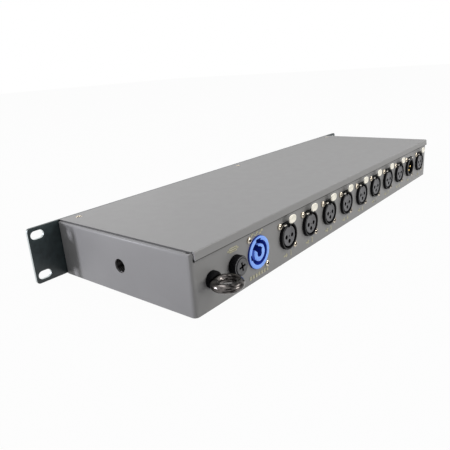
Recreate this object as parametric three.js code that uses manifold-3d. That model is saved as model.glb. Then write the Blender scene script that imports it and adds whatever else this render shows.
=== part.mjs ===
// Rack-mount DMX splitter, 1 unit high: a grey steel case behind a black 19-inch plate. Sockets,
// mains inlet, fuse and eye bolt are on the rear panel.
// Millimetres. +Z is up, the plate faces -Y and the rear panel faces +Y. The origin is the middle
// of the case's underside.

import * as THREE from 'three';
import { mergeVertices } from 'three/addons/utils/BufferGeometryUtils.js';
import Module from 'manifold-3d';

const wasm = await Module();
wasm.setup();

// Case, plate and cover
const PLATE_WIDTH = 482.6;
const PLATE_HEIGHT = 43.7;
const PLATE_THICK = 2;
const PLATE_CORNER = 2.5;
const SLOT_SPACING = 468;
const SLOT_PITCH = 31.75;
const SLOT_LENGTH = 10.6;
const SLOT_WIDTH = 6.5;
const CASE_WIDTH = 432;
const CASE_HEIGHT = 44;
const OVERALL_DEPTH = 140;
const SHEET = 1.25;
const REAR_BEND = 3.5;
const FRONT_BEND = 1.75;
const SIDE_BEND = 2;
const COVER_SIDE = 1.75;
const LIP_DROP = 5.9;
const LIP_SIDE = 2.6;
const FLANGE = 11;
const SCREW_BOSS = 3.2;
const BOARD_POST = 2.5;
const SCREW_HOLE = 1.8;

// Rear panel: one row of parts on a common height, from +X to -X
const ROW_Z = 21;
const SOCKET_PITCH = 33.3;
const FIRST_SOCKET_X = 110;
const OUTPUTS = 8;
const INLET_X = 148.5;
const FUSE_X = 174.7;
const EYE_X = 198.8;
const EYE_Z = 20.4;

// Socket shells and what is in them
const SHELL_RADIUS = 10.6;
const SHELL_PROUD = 2.6;
const SHELL_BORE = 9.4;
const PIN_SHELL_BORE = 8.1;
const SHELL_BORE_DEPTH = 14;
const HOUSING_HALF = 13;
const HOUSING_BACK = 24;
const SOCKET_SCREW_X = 10.3;
const SOCKET_SCREW_Z = 10;
const SOCKET_SCREW_HOLE = 1.5;
const SOCKET_SCREW_SHANK = 1.2;
const SCREW_HEAD_RADIUS = 2.5;
const SCREW_HEAD_HIGH = 1.8;
const SHOULDER_HALF = 7.5;
const SHOULDER_TOP = 11.2;
const SHOULDER_PROUD = 1.8;
const INSERT_RADIUS = 7.9;
const INSERT_PROUD = 2.1;
const CONTACT_SPREAD = 4;
const CONTACT_HOLE = 1.45;
const CONTACT_DEPTH = 9;
const KEYWAY_HALF = 1.3;
const PIN_RADIUS = 1.2;
const PIN_TIP = 1;

// Push tab of a socket, measured from the socket's axis and the rear panel's face
const TAB_WIDTH = 9.8;
const TAB_HEIGHT = 6.4;
const TAB_Z = 14.2;
const TAB_PROUD = 5.7;
const TAB_THICK = 1.1;
const ARM_HALF = 2.6;
const ARM_LOW = 9.9;
const ARM_HIGH = 11.2;
const ARM_BACK = 11.5;
const ARM_SIDE_GAP = 0.4;
const FOOT_TOP = 13.5;
const FOOT_BACK = 3.4;
const HOOK_HALF = 1.9;
const HOOK_BACK = 7.3;
const HOOK_FRONT = 5.2;
const LATCH_TRAVEL = 2.5;

// Mains inlet, fuse holder, eye bolt and side inserts
const INLET_RADIUS = 12;
const INLET_PROUD = 1.4;
const GROOVE_OUTER = 9;
const GROOVE_INNER = 6.3;
const GROOVE_DEPTH = 13;
const CORE_DEPTH = 10;
const CORE_SLOT = { half: 2.6, low: -3.4, high: 4.6 };
const CORE_GAP = [[1.5, 0], [7.3, 4.95], [2.9, 7.6], [0.2, 4.2]];
const CORE_NOTCH = [[0.5, 4.7], [-3.4, 2.7], [-3.2, 2.1], [0, 1]];
const TOP_KEY = { x: [-1.9, 3.5], high: 10.4 };
const SIDE_KEY = { out: 10.3, half: 2, turn: 8 };
const INLET_BACK = -24;
const INLET_FLANGE = { half: 13, high: 15.25, thick: 2 };
const BLADES = [[6, 5], [-6, 5], [0, -6]];
const BLADE_END = -32;
const INLET_SCREW_X = 10;
const INLET_SCREW_Z = 12;
const INLET_HEAD_RADIUS = 2.2;
const INLET_HEAD_HIGH = 1.7;
const FUSE_RADIUS = 7.3;
const FUSE_PROUD = 5.5;
const FUSE_RIBS = 20;
const FUSE_BARREL = 6.2;
const FUSE_BACK = -30;
const FUSE_NUT = 17;
const FUSE_TERMINAL = -37;
const FUSE_BORE = 4.7;
const CAP_SEAT = 5.9;
const CAP_RADIUS = 5.6;
const CAP_STEM = 4.3;
const CAP_FACE = 6.1;
const CAP_CROSS = { half: 3, wide: 0.5, deep: 1.2, turn: 11.5 };
const FUSE_BODY = 2.4;
const FUSE_END = 2.6;
const RING_RADIUS = 7.85;
const RING_WIRE = 3.1;
const RING_OUT = 12.6;
const COLLAR_RADIUS = 5.9;
const COLLAR_THICK = 4;
const SHANK_HOLE = 3.3;
const EYE_NUT = 10;
const SIDE_HOLE = 5.2;
const SIDE_HOLE_Y = 1.3;
const INSERT_NUT_RADIUS = 9;
const INSERT_NUT_LONG = 10;
const THREAD_BORE = 4.3;

// Boards, and the parts that stand on them
const BOARD_LOW = 6.5;
const BOARD_THICK = 1.5;
const MAIN_BOARD = { x: [-208, 128], y: [6, 66] };
const SUPPLY_BOARD = { x: [138, 203], y: [-58, 32] };
const LAMP_BOARD = { x: [-182, 132], z: [13, 31] };
const CHIP = { half: 4.9, deep: 6.4, high: 4, y: [20, 32] };
const DRIVER_CAN = { radius: 3, high: 8, x: 10, y: 30 };
const CONTROLLER = { x: [-190, -160], y: [18, 36], high: 6 };
const RIBBON_PLUG = { x: [-70, -50], y: [8, 14], high: 7 };
const SUPPLY_PLUG = { x: [112, 124], y: [8, 18], high: 9 };
const TRANSFORMER = { x: [150, 184], y: [-30, -2], high: 24 };
const HEAT_SINK = { x: [146, 149], y: [-24, 4], high: 26 };
const MAINS_TERMINALS = { x: [152, 190], y: [18, 28], high: 10 };
const LOW_VOLT_TERMINALS = { x: [139, 145], y: [4, 14], high: 9 };
const SUPPLY_CANS = [{ radius: 8, high: 22, x: 160, y: -46 }, { radius: 6, high: 18, x: 186, y: -46 }];
const MAINS_LEAD = 1.1;
const SUPPLY_LEAD = 1.3;
const LAMP_RADIUS = 2.5;
const LAMP_SUNK = 0.1;
const LAMP_SPACERS = [-176, 126];
const LAMP_BOARD_Y = 8;
const RIBBON_X = [-66, -54];

// Space left round a piece that goes through a hole
const GAP = 0.3;

// Flats round a barrel, a small screw and a large ring
const BARREL_SIDES = 20;
const SCREW_SIDES = 8;
const WIDE_SIDES = 32;

const FRONT = -OVERALL_DEPTH / 2;
const REAR = OVERALL_DEPTH / 2;
const CASE_FRONT = FRONT + PLATE_THICK;
const HALF = CASE_WIDTH / 2;
const SIDE_TOP = CASE_HEIGHT - SHEET;
const LIP_LOW = CASE_HEIGHT - LIP_DROP;
const LIP_END = HALF - LIP_SIDE;
const BOARD_TOP = BOARD_LOW + BOARD_THICK;
const SLOT_Z = CASE_HEIGHT / 2;

const outputX = (i) => FIRST_SOCKET_X - i * SOCKET_PITCH;
const INPUT_X = outputX(OUTPUTS);
const THRU_X = outputX(OUTPUTS + 1);
const femaleX = [...Array(OUTPUTS).keys()].map(outputX).concat(THRU_X);
const lampX = [...Array(OUTPUTS).keys()].map((i) => (i - 3.5) * SOCKET_PITCH).concat([-150, -168]);
const coverScrews = [['left', 202], ['centre', 0], ['right', -202]];
const COVER_SCREW_Y = FRONT + 9.5;
const panelScrews = [[209.5, 10], [209.5, 34], [-209.5, 10], [-209.5, 34]];
const mainPosts = [[-200, 12], [-35, 12], [120, 12], [-200, 42], [-35, 42], [120, 42]];
const supplyPosts = [[145, -52], [196, -52], [145, 26], [196, 26]];

// Finishes
function finish(color, roughness, metalness) {
  return new THREE.MeshStandardMaterial({ color, roughness, metalness });
}
const powderGrey = finish(0x92928f, 0.6, 0.15);
const blackPlate = finish(0x1b2021, 0.45, 0.3);
const blackPlastic = finish(0x141415, 0.5, 0);
const insertGrey = finish(0x5c5c60, 0.6, 0);
const tabIvory = finish(0xe6e0cc, 0.35, 0.4);
const inletBlue = finish(0x3a6be0, 0.4, 0);
const nickel = finish(0xc9bda4, 0.3, 0.9);
const blackChrome = finish(0x3a3638, 0.15, 0.9);
const gold = finish(0xd8b54a, 0.3, 0.9);
const steel = finish(0x9a9a9c, 0.4, 0.9);
const boardGreen = finish(0x1f5a34, 0.5, 0.1);
const glass = finish(0xdfe8e6, 0.1, 0.1);
const leadBlack = finish(0x202020, 0.6, 0);
const leadBlue = finish(0x2a4fb0, 0.6, 0);
const ribbonGrey = finish(0xa9a9a6, 0.7, 0);

// A closed geometry as a solid that can be cut and joined
function solid(geometry) {
  geometry.deleteAttribute('normal');
  geometry.deleteAttribute('uv');
  const merged = mergeVertices(geometry, 1e-4);
  const triVerts = [];
  const index = merged.index.array;
  for (let i = 0; i < index.length; i += 3) {
    const [a, b, c] = [index[i], index[i + 1], index[i + 2]];
    if (a !== b && b !== c && c !== a) triVerts.push(a, b, c);
  }
  const mesh = new wasm.Mesh({
    numProp: 3,
    vertProperties: merged.attributes.position.array,
    triVerts: new Uint32Array(triVerts),
  });
  return new wasm.Manifold(mesh);
}

// A box between two limits on each axis
function block(x0, x1, y0, y1, z0, z1) {
  const box = new THREE.BoxGeometry(x1 - x0, y1 - y0, z1 - z0);
  return solid(box.translate((x0 + x1) / 2, (y0 + y1) / 2, (z0 + z1) / 2));
}

// A round rod along one axis
function rodY(radius, y0, y1, x = 0, z = 0, sides = 24) {
  const rod = new THREE.CylinderGeometry(radius, radius, y1 - y0, sides);
  return solid(rod.translate(x, (y0 + y1) / 2, z));
}
function rodX(radius, x0, x1, y = 0, z = 0, sides = 24) {
  const rod = new THREE.CylinderGeometry(radius, radius, x1 - x0, sides).rotateZ(-Math.PI / 2);
  return solid(rod.translate((x0 + x1) / 2, y, z));
}
function rodZ(radius, z0, z1, x = 0, y = 0, sides = 16) {
  const rod = new THREE.CylinderGeometry(radius, radius, z1 - z0, sides).rotateX(Math.PI / 2);
  return solid(rod.translate(x, y, (z0 + z1) / 2));
}

// A piece turned about the Y axis from a profile of [radius, y] points
function turned(profile, sides = 24) {
  return solid(new THREE.LatheGeometry(profile.map(([r, y]) => new THREE.Vector2(r, y)), sides));
}

// Sheet outlines pushed out: in plan along Z, upright (x, z) along Y, and end-on (y, z) along X
function plan(shape, z0, z1) {
  const flat = new THREE.ExtrudeGeometry(shape, { depth: z1 - z0, bevelEnabled: false, curveSegments: 5 });
  return solid(flat.translate(0, 0, z0));
}
function upright(shape, y0, y1, curveSegments = 3) {
  const flat = new THREE.ExtrudeGeometry(shape, { depth: y1 - y0, bevelEnabled: false, curveSegments });
  return solid(flat.rotateX(Math.PI / 2).translate(0, y1, 0));
}
function endOn(shape, x0, x1) {
  const flat = new THREE.ExtrudeGeometry(shape, { depth: x1 - x0, bevelEnabled: false, curveSegments: 6 });
  const turn = new THREE.Matrix4().makeBasis(
    new THREE.Vector3(0, 1, 0),
    new THREE.Vector3(0, 0, 1),
    new THREE.Vector3(1, 0, 0),
  );
  return solid(flat.applyMatrix4(turn).translate(x0, 0, 0));
}

// A rectangle whose four corners have their own radii: low left, low right, high right, high left
function rounded(x0, x1, y0, y1, [ll, lr, hr, hl]) {
  const shape = new THREE.Shape();
  shape.moveTo(x0 + ll, y0);
  shape.lineTo(x1 - lr, y0);
  if (lr) shape.absarc(x1 - lr, y0 + lr, lr, -Math.PI / 2, 0);
  shape.lineTo(x1, y1 - hr);
  if (hr) shape.absarc(x1 - hr, y1 - hr, hr, 0, Math.PI / 2);
  shape.lineTo(x0 + hl, y1);
  if (hl) shape.absarc(x0 + hl, y1 - hl, hl, Math.PI / 2, Math.PI);
  shape.lineTo(x0, y0 + ll);
  if (ll) shape.absarc(x0 + ll, y0 + ll, ll, Math.PI, Math.PI * 1.5);
  return shape;
}

const joined = (pieces) => pieces.reduce((sum, piece) => sum.add(piece));
const without = (body, cuts) => cuts.reduce((rest, cut) => rest.subtract(cut), body);

const splitter = new THREE.Group();
splitter.name = 'dmx_splitter';

// Puts a solid into the model as a named mesh, in its place
function place(name, body, material, x = 0, y = 0, z = 0) {
  const { vertProperties, triVerts } = body.getMesh();
  const geometry = new THREE.BufferGeometry();
  geometry.setAttribute('position', new THREE.BufferAttribute(new Float32Array(vertProperties), 3));
  geometry.setIndex(new THREE.BufferAttribute(new Uint32Array(triVerts), 1));
  geometry.computeVertexNormals();
  const mesh = new THREE.Mesh(geometry, material);
  mesh.name = name;
  mesh.position.set(x, y, z);
  splitter.add(mesh);
}

// A countersunk screw that points along -Y: flat head at y 0, cross recess, shank
function countersunk(headRadius, shankRadius, headHigh, long) {
  const profile = [[0, -long], [shankRadius, -long], [shankRadius, -headHigh], [headRadius, -0.1]];
  const body = turned([...profile, [headRadius, 0], [0, 0]], 10);
  const half = headRadius * 0.6;
  return without(body, [block(-half, half, -0.9, 1, -0.3, 0.3), block(-0.3, 0.3, -0.9, 1, -half, half)]);
}

// A hexagon nut along Y between y0 and y1
function hexNut(acrossFlats, bore, y0, y1) {
  return without(rodY(acrossFlats / Math.sqrt(3), y0, y1, 0, 0, 6), [rodY(bore, y0 - 1, y1 + 1, 0, 0, 12)]);
}

// A plan of the case that is inset on the sides and back, with its corners bent round
function casePlan(inset, front, bend) {
  const radius = REAR_BEND - inset;
  return rounded(-HALF + inset, HALF - inset, front, REAR - inset, [bend, bend, radius, radius]);
}

// Chassis: folded tray with floor, sides, rear panel and inward flanges
function chassis() {
  const outline = plan(casePlan(0, CASE_FRONT, FRONT_BEND), 0, SIDE_TOP);
  const inside = plan(casePlan(SHEET, CASE_FRONT - 5, 0), SHEET, CASE_HEIGHT);
  const tray = outline.subtract(inside);
  const innerHalf = HALF - SHEET;
  const flangeEdge = HALF - FLANGE - 1;
  const flangeLow = SIDE_TOP - SHEET;
  const parts = [tray];
  for (const side of [-1, 1]) {
    const [a, b] = [side * flangeEdge, side * (innerHalf + 0.25)].sort((p, q) => p - q);
    parts.push(block(a, b, CASE_FRONT, REAR - 5, flangeLow, SIDE_TOP));
    parts.push(block(a, b, CASE_FRONT, CASE_FRONT + SHEET, 1, SIDE_TOP));
  }
  parts.push(block(-innerHalf, innerHalf, CASE_FRONT, CASE_FRONT + 14, flangeLow, SIDE_TOP));
  parts.push(block(-innerHalf, innerHalf, CASE_FRONT, CASE_FRONT + SHEET, 1, 8));
  parts.push(block(-flangeEdge + 0.5, flangeEdge - 0.5, REAR - 12, REAR - 1, flangeLow, SIDE_TOP));
  for (const [, x] of coverScrews) {
    parts.push(rodZ(SCREW_BOSS, flangeLow - 4, flangeLow + 0.5, x, COVER_SCREW_Y, SCREW_SIDES));
  }
  for (const [x, z] of panelScrews) {
    parts.push(rodY(SCREW_BOSS, CASE_FRONT + 1, CASE_FRONT + 5, x, z, SCREW_SIDES));
  }
  for (const [x, y] of [...mainPosts, ...supplyPosts]) parts.push(rodZ(BOARD_POST, 1, BOARD_LOW, x, y, 6));
  const bends = [0, 0, SIDE_BEND, SIDE_BEND];
  const envelope = upright(rounded(-HALF, HALF, 0, SIDE_TOP, bends), CASE_FRONT - 1, REAR + 1);
  const body = joined(parts).intersect(envelope).intersect(outline);

  const out = REAR + 1;
  const inner = REAR - SHEET - 1;
  const cuts = [];
  for (const side of [-1, 1]) {
    const [a, b] = [side * (LIP_END + 0.4), side * (LIP_END - 1.4)].sort((p, q) => p - q);
    cuts.push(block(a, b, inner, out, LIP_LOW - 1.2, LIP_LOW + 1));
    cuts.push(rodX(SIDE_HOLE, side * HALF - 3, side * HALF + 3, SIDE_HOLE_Y, ROW_Z, WIDE_SIDES));
  }
  for (const x of [...femaleX, INPUT_X]) {
    cuts.push(rodY(SHELL_RADIUS + GAP, inner, out, x, ROW_Z, BARREL_SIDES));
    for (const side of [-1, 1]) {
      const [screwX, screwZ] = [x + side * SOCKET_SCREW_X, ROW_Z + side * SOCKET_SCREW_Z];
      cuts.push(rodY(SOCKET_SCREW_HOLE, inner, out, screwX, screwZ, SCREW_SIDES));
    }
    const edge = SHOULDER_HALF + GAP;
    cuts.push(block(x - edge, x + edge, inner, out, ROW_Z, ROW_Z + SHOULDER_TOP + GAP));
  }
  cuts.push(rodY(INLET_RADIUS + GAP, inner, out, INLET_X, ROW_Z, WIDE_SIDES));
  for (const side of [-1, 1]) {
    const [x, z] = [INLET_X + side * INLET_SCREW_X, ROW_Z + side * INLET_SCREW_Z];
    cuts.push(rodY(SCREW_HOLE, inner, out, x, z, SCREW_SIDES));
  }
  cuts.push(rodY(FUSE_BARREL + GAP, inner, out, FUSE_X, ROW_Z, BARREL_SIDES));
  cuts.push(rodY(SHANK_HOLE, inner, out, EYE_X, EYE_Z, 12));
  for (const [, x] of coverScrews) {
    cuts.push(rodZ(SCREW_HOLE, 30, CASE_HEIGHT, x, COVER_SCREW_Y, SCREW_SIDES));
  }
  for (const [x, z] of panelScrews) {
    cuts.push(rodY(SCREW_HOLE, CASE_FRONT - 1, CASE_FRONT + 6, x, z, SCREW_SIDES));
  }
  return without(body, cuts);
}
place('chassis', chassis(), powderGrey);

// Front panel: flat plate with a pair of slots in each ear, holes for lamps and countersinks
function slot(x, z) {
  const half = SLOT_LENGTH / 2;
  const r = SLOT_WIDTH / 2;
  return upright(rounded(x - half, x + half, z - r, z + r, [r, r, r, r]), FRONT - 1, CASE_FRONT + 1);
}
function frontPanel() {
  const half = PLATE_WIDTH / 2;
  const low = (CASE_HEIGHT - PLATE_HEIGHT) / 2;
  const r = PLATE_CORNER;
  const plate = upright(rounded(-half, half, low, low + PLATE_HEIGHT, [r, r, r, r]), FRONT, CASE_FRONT);
  const spacers = LAMP_SPACERS.map((x) => rodY(2.5, CASE_FRONT - 0.5, FRONT + LAMP_BOARD_Y, x, SLOT_Z, 6));
  const cuts = [];
  for (const side of [-1, 1]) {
    for (const end of [-1, 1]) cuts.push(slot((side * SLOT_SPACING) / 2, SLOT_Z + (end * SLOT_PITCH) / 2));
  }
  for (const x of lampX) cuts.push(rodY(LAMP_RADIUS + GAP, FRONT - 1, CASE_FRONT + 1, x, SLOT_Z, 10));
  const sink = turned([[0, -1], [3.9, -1], [1.8, 1.4], [1.8, 4], [0, 4]], 10);
  for (const [x, z] of panelScrews) cuts.push(sink.translate([x, FRONT, z]));
  return without(joined([plate, ...spacers]), cuts);
}
place('front_panel', frontPanel(), blackPlate);
const panelScrew = countersunk(2.7, 1.5, 1.4, 8).rotate([180, 0, 0]);
panelScrews.forEach(([x, z], i) => place(`panel_screw_${i + 1}`, panelScrew, steel, x, FRONT, z));

// Top cover: flat sheet whose rear edge is bent down as a lip over the rear panel
function topCover() {
  const r = SIDE_BEND;
  const profile = new THREE.Shape();
  profile.moveTo(CASE_FRONT, SIDE_TOP);
  profile.lineTo(CASE_FRONT, CASE_HEIGHT);
  profile.lineTo(REAR + SHEET - r, CASE_HEIGHT);
  profile.absarc(REAR + SHEET - r, CASE_HEIGHT - r, r, Math.PI / 2, 0, true);
  profile.lineTo(REAR + SHEET, LIP_LOW);
  profile.lineTo(REAR, LIP_LOW);
  profile.lineTo(REAR, SIDE_TOP);
  const half = HALF - COVER_SIDE;
  const sheet = endOn(profile, -half, half);
  const cuts = [];
  for (const side of [-1, 1]) {
    const [a, b] = [side * LIP_END, side * HALF].sort((p, q) => p - q);
    cuts.push(block(a, b, REAR - 1, REAR + 3, LIP_LOW - 1, CASE_HEIGHT + 1));
  }
  const sink = solid(new THREE.CylinderGeometry(3.1, 1.8, SHEET + 0.1, 10).rotateX(Math.PI / 2));
  for (const [, x] of coverScrews) {
    cuts.push(sink.translate([x, COVER_SCREW_Y, SIDE_TOP + SHEET / 2]));
  }
  return without(sheet, cuts);
}
place('top_cover', topCover(), powderGrey);
const coverScrew = countersunk(2.6, 1.5, 1.2, 6).rotate([90, 0, 0]);
for (const [side, x] of coverScrews) {
  place(`cover_screw_${side}`, coverScrew, nickel, x, COVER_SCREW_Y, CASE_HEIGHT - 0.15);
}

// Socket shell: housing behind the rear panel, round barrel with a flat shoulder on top of it that
// stands through the panel, and its two screws
function socketShell(bore) {
  const back = -SHEET;
  const half = HOUSING_HALF;
  const housing = block(-half, half, -HOUSING_BACK, back, -half, half);
  const barrelProfile = [[0, back - 1], [SHELL_RADIUS, back - 1], [SHELL_RADIUS, SHELL_PROUD]];
  const barrel = turned([...barrelProfile, [0, SHELL_PROUD]], BARREL_SIDES);
  const shoulder = block(-SHOULDER_HALF, SHOULDER_HALF, back - 1, SHOULDER_PROUD, 0, SHOULDER_TOP);
  const headProfile = [[0, 0], [SCREW_HEAD_RADIUS, 0], [SCREW_HEAD_RADIUS * 0.8, SCREW_HEAD_HIGH]];
  const head = turned([...headProfile, [0, SCREW_HEAD_HIGH]], SCREW_SIDES);
  const screw = head.add(rodY(SOCKET_SCREW_SHANK, back - 2, 0.5, 0, 0, SCREW_SIDES));
  const screws = [-1, 1].map((s) => screw.translate([s * SOCKET_SCREW_X, 0, s * SOCKET_SCREW_Z]));
  const solidShell = joined([housing, barrel, shoulder, ...screws]);
  return solidShell.subtract(rodY(bore, -SHELL_BORE_DEPTH, 4, 0, 0, BARREL_SIDES));
}
function femaleShell() {
  const half = ARM_HALF + ARM_SIDE_GAP;
  const back = -ARM_BACK - LATCH_TRAVEL - 1.5;
  const armWay = block(-half, half, back, SHELL_PROUD + 1, SHELL_BORE - 0.4, HOUSING_HALF + 1);
  return socketShell(SHELL_BORE).subtract(armWay);
}

// Insert of a female socket: round island with three contact holes and a keyway at the top
const contactPlaces = [[CONTACT_SPREAD, 0], [-CONTACT_SPREAD, 0], [0, -CONTACT_SPREAD]];
function contactInsert() {
  const face = INSERT_PROUD;
  const island = rodY(INSERT_RADIUS, -SHELL_BORE_DEPTH, face, 0, 0, BARREL_SIDES);
  const end = -CONTACT_DEPTH;
  const holes = contactPlaces.map(([x, z]) => rodY(CONTACT_HOLE, end, face + 1, x, z, SCREW_SIDES));
  const keyway = block(-KEYWAY_HALF, KEYWAY_HALF, end, face + 1, INSERT_RADIUS - 1, INSERT_RADIUS + 1);
  return without(island, [...holes, keyway]);
}

// Push tab: oval plate whose foot stands on a flat arm. The arm runs back into the housing through
// the top of the barrel and has a hook under it that holds the plug.
function latch() {
  const oval = new THREE.Shape();
  oval.absellipse(0, TAB_Z, TAB_WIDTH / 2, TAB_HEIGHT / 2, 0, Math.PI * 2);
  const front = TAB_PROUD - TAB_THICK + 0.2;
  const plate = upright(oval, TAB_PROUD - TAB_THICK, TAB_PROUD, 8);
  const arm = block(-ARM_HALF, ARM_HALF, -ARM_BACK, front, ARM_LOW, ARM_HIGH);
  const foot = block(-ARM_HALF, ARM_HALF, FOOT_BACK, front, ARM_LOW, FOOT_TOP);
  const hook = block(-HOOK_HALF, HOOK_HALF, -HOOK_BACK, -HOOK_FRONT, INSERT_RADIUS + 0.4, ARM_LOW + 0.2);
  return joined([plate, arm, foot, hook]);
}

const shell = femaleShell();
const insert = contactInsert();
const tab = latch();
femaleX.forEach((x, i) => {
  const name = i < OUTPUTS ? `output_${i + 1}` : 'thru';
  place(`${name}_socket`, shell, blackPlastic, x, REAR, ROW_Z);
  place(`${name}_insert`, insert, insertGrey, x, REAR, ROW_Z);
  place(`${name}_latch`, tab, tabIvory, x, REAR, ROW_Z);
});

// Input socket: shell of the same make with a plain bore, and a disc with three pins at its bottom
place('input_socket', socketShell(PIN_SHELL_BORE), blackPlastic, INPUT_X, REAR, ROW_Z);
const pinFloor = -SHELL_BORE_DEPTH;
const pins = contactPlaces.map(([x, z]) => rodY(PIN_RADIUS, pinFloor + 1, PIN_TIP, x, z, SCREW_SIDES));
const pinDisc = rodY(PIN_SHELL_BORE - GAP, pinFloor, pinFloor + 2, 0, 0, BARREL_SIDES);
place('input_pins', joined([pinDisc, ...pins]), gold, INPUT_X, REAR, ROW_Z);

// Mains inlet: round twist-lock front, oblong flange behind the panel and three blades at the back
function powerInlet() {
  const front = INLET_PROUD;
  const rim = [[0, INLET_BACK], [INLET_RADIUS, INLET_BACK], [INLET_RADIUS, front - 0.4]];
  const body = turned([...rim, [INLET_RADIUS - 0.4, front], [0, front]], WIDE_SIDES);
  const { half, high, thick } = INLET_FLANGE;
  const flange = block(-half, half, -SHEET - thick, -SHEET, -high, high);
  const blades = BLADES.map(([x, z]) => block(x - 3, x + 3, BLADE_END, INLET_BACK + 1, z - 0.5, z + 0.5));
  const ringGroove = rodY(GROOVE_OUTER, -GROOVE_DEPTH, 3, 0, 0, WIDE_SIDES).subtract(
    rodY(GROOVE_INNER, -GROOVE_DEPTH - 1, 4, 0, 0, WIDE_SIDES),
  );
  const { half: r, low, high: top } = CORE_SLOT;
  const slot = upright(rounded(-r, r, low, top, [r, r, r, r]), -CORE_DEPTH, 3, 4);
  const [gap, notch] = [CORE_GAP, CORE_NOTCH].map((corners) => {
    return upright(new THREE.Shape(corners.map((at) => new THREE.Vector2(...at))), -CORE_DEPTH, 3);
  });
  const topKey = block(...TOP_KEY.x, -GROOVE_DEPTH, 3, GROOVE_INNER + 1, TOP_KEY.high);
  const { out, half: keyHalf, turn } = SIDE_KEY;
  const keyBlock = block(GROOVE_INNER + 1, out, -GROOVE_DEPTH, 3, -keyHalf, keyHalf);
  const sideKey = keyBlock.rotate([0, turn, 0]);
  const screwHoles = [-1, 1].map((s) => rodY(1.8, -9, 1, s * INLET_SCREW_X, s * INLET_SCREW_Z, SCREW_SIDES));
  const cuts = [ringGroove, slot, gap, notch, topKey, sideKey, ...screwHoles];
  return without(joined([body, flange, ...blades]), cuts);
}
place('power_inlet', powerInlet(), inletBlue, INLET_X, REAR, ROW_Z);

// Pan-head screws of the inlet
const headEdge = [[INLET_HEAD_RADIUS, 0], [INLET_HEAD_RADIUS, INLET_HEAD_HIGH * 0.55]];
const headFace = [[INLET_HEAD_RADIUS * 0.7, INLET_HEAD_HIGH], [0, INLET_HEAD_HIGH]];
const panScrew = without(turned([[0, -7], [1.5, -7], [1.5, 0], ...headEdge, ...headFace], 12), [
  block(-1.2, 1.2, INLET_HEAD_HIGH - 0.9, 3, -0.3, 0.3),
  block(-0.3, 0.3, INLET_HEAD_HIGH - 0.9, 3, -1.2, 1.2),
]);
place('inlet_screw_upper', panScrew, nickel, INLET_X + INLET_SCREW_X, REAR, ROW_Z + INLET_SCREW_Z);
place('inlet_screw_lower', panScrew, nickel, INLET_X - INLET_SCREW_X, REAR, ROW_Z - INLET_SCREW_Z);

// Fuse holder: ribbed collar outside, threaded barrel and terminal behind the panel
function fuseHolder() {
  const ribs = new THREE.Shape();
  for (let i = 0; i < FUSE_RIBS * 2; i += 1) {
    const r = i % 2 ? FUSE_RADIUS - 0.35 : FUSE_RADIUS;
    const angle = (Math.PI * i) / FUSE_RIBS;
    ribs[i ? 'lineTo' : 'moveTo'](r * Math.cos(angle), r * Math.sin(angle));
  }
  const collar = upright(ribs, 0, FUSE_PROUD);
  const barrel = rodY(FUSE_BARREL, FUSE_BACK, 0.5, 0, 0, BARREL_SIDES);
  const terminal = block(-2.4, 2.4, FUSE_TERMINAL, FUSE_BACK + 1, -0.4, 0.4);
  const bore = [[0, FUSE_BACK + 3], [FUSE_BORE, FUSE_BACK + 3], [FUSE_BORE, 2]];
  const seat = [[CAP_SEAT, 2], [CAP_SEAT, FUSE_PROUD + 1], [0, FUSE_PROUD + 1]];
  return joined([collar, barrel, terminal]).subtract(turned([...bore, ...seat], BARREL_SIDES));
}
place('fuse_holder', fuseHolder(), blackPlastic, FUSE_X, REAR, ROW_Z);

// Nut behind the panel, fuse cap with its cross slot and stem, and the glass fuse that it carries
place('fuse_nut', hexNut(FUSE_NUT, FUSE_BARREL + GAP, -SHEET - 3, -SHEET), blackPlastic, FUSE_X, REAR, ROW_Z);
const capStem = [[0, -4], [CAP_STEM, -4], [CAP_STEM, 2.3]];
const capEdge = [[CAP_RADIUS, 2.3], [CAP_RADIUS, CAP_FACE - 0.2], [CAP_RADIUS - 0.2, CAP_FACE]];
const { half: armLong, wide: armWide, deep: armDeep, turn: armTurn } = CAP_CROSS;
const crossArm = block(-armLong, armLong, CAP_FACE - armDeep, CAP_FACE + 1, -armWide, armWide);
const fuseCap = without(turned([...capStem, ...capEdge, [0, CAP_FACE]], BARREL_SIDES), [
  rodY(FUSE_END + 0.35, -5, 1.5, 0, 0, 12),
  crossArm.rotate([0, armTurn, 0]),
  crossArm.rotate([0, armTurn + 90, 0]),
]);
place('fuse_cap', fuseCap, blackPlastic, FUSE_X, REAR, ROW_Z);
const innerEnd = [[0, -18.8], [FUSE_END, -18.8], [FUSE_END, -13.8], [FUSE_BODY, -13.8]];
const outerEnd = [[FUSE_BODY, -3.8], [FUSE_END, -3.8], [FUSE_END, 1.2], [0, 1.2]];
place('fuse_link', turned([...innerEnd, ...outerEnd], 12), glass, FUSE_X, REAR, ROW_Z);

// Eye bolt: level ring on a threaded shank, with a round collar outside and a nut inside
const shank = rodY(RING_WIRE, -9, RING_OUT - RING_RADIUS, 0, 0, 12);
const ring = (wire) => solid(new THREE.TorusGeometry(RING_RADIUS, wire, 12, 28)).translate([0, RING_OUT, 0]);
place('eye_bolt', ring(RING_WIRE).add(shank), blackChrome, EYE_X, REAR, EYE_Z);
const collarProfile = [[SHANK_HOLE, 0], [COLLAR_RADIUS, 0], [COLLAR_RADIUS, COLLAR_THICK - 0.6]];
const collarFront = [[COLLAR_RADIUS - 0.6, COLLAR_THICK], [SHANK_HOLE, COLLAR_THICK], [SHANK_HOLE, 0]];
const collar = turned([...collarProfile, ...collarFront], BARREL_SIDES);
place('eye_collar', collar.subtract(ring(RING_WIRE + GAP)), blackPlastic, EYE_X, REAR, EYE_Z);
place('eye_nut', hexNut(EYE_NUT, SHANK_HOLE, -SHEET - 5, -SHEET), steel, EYE_X, REAR, EYE_Z);

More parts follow.
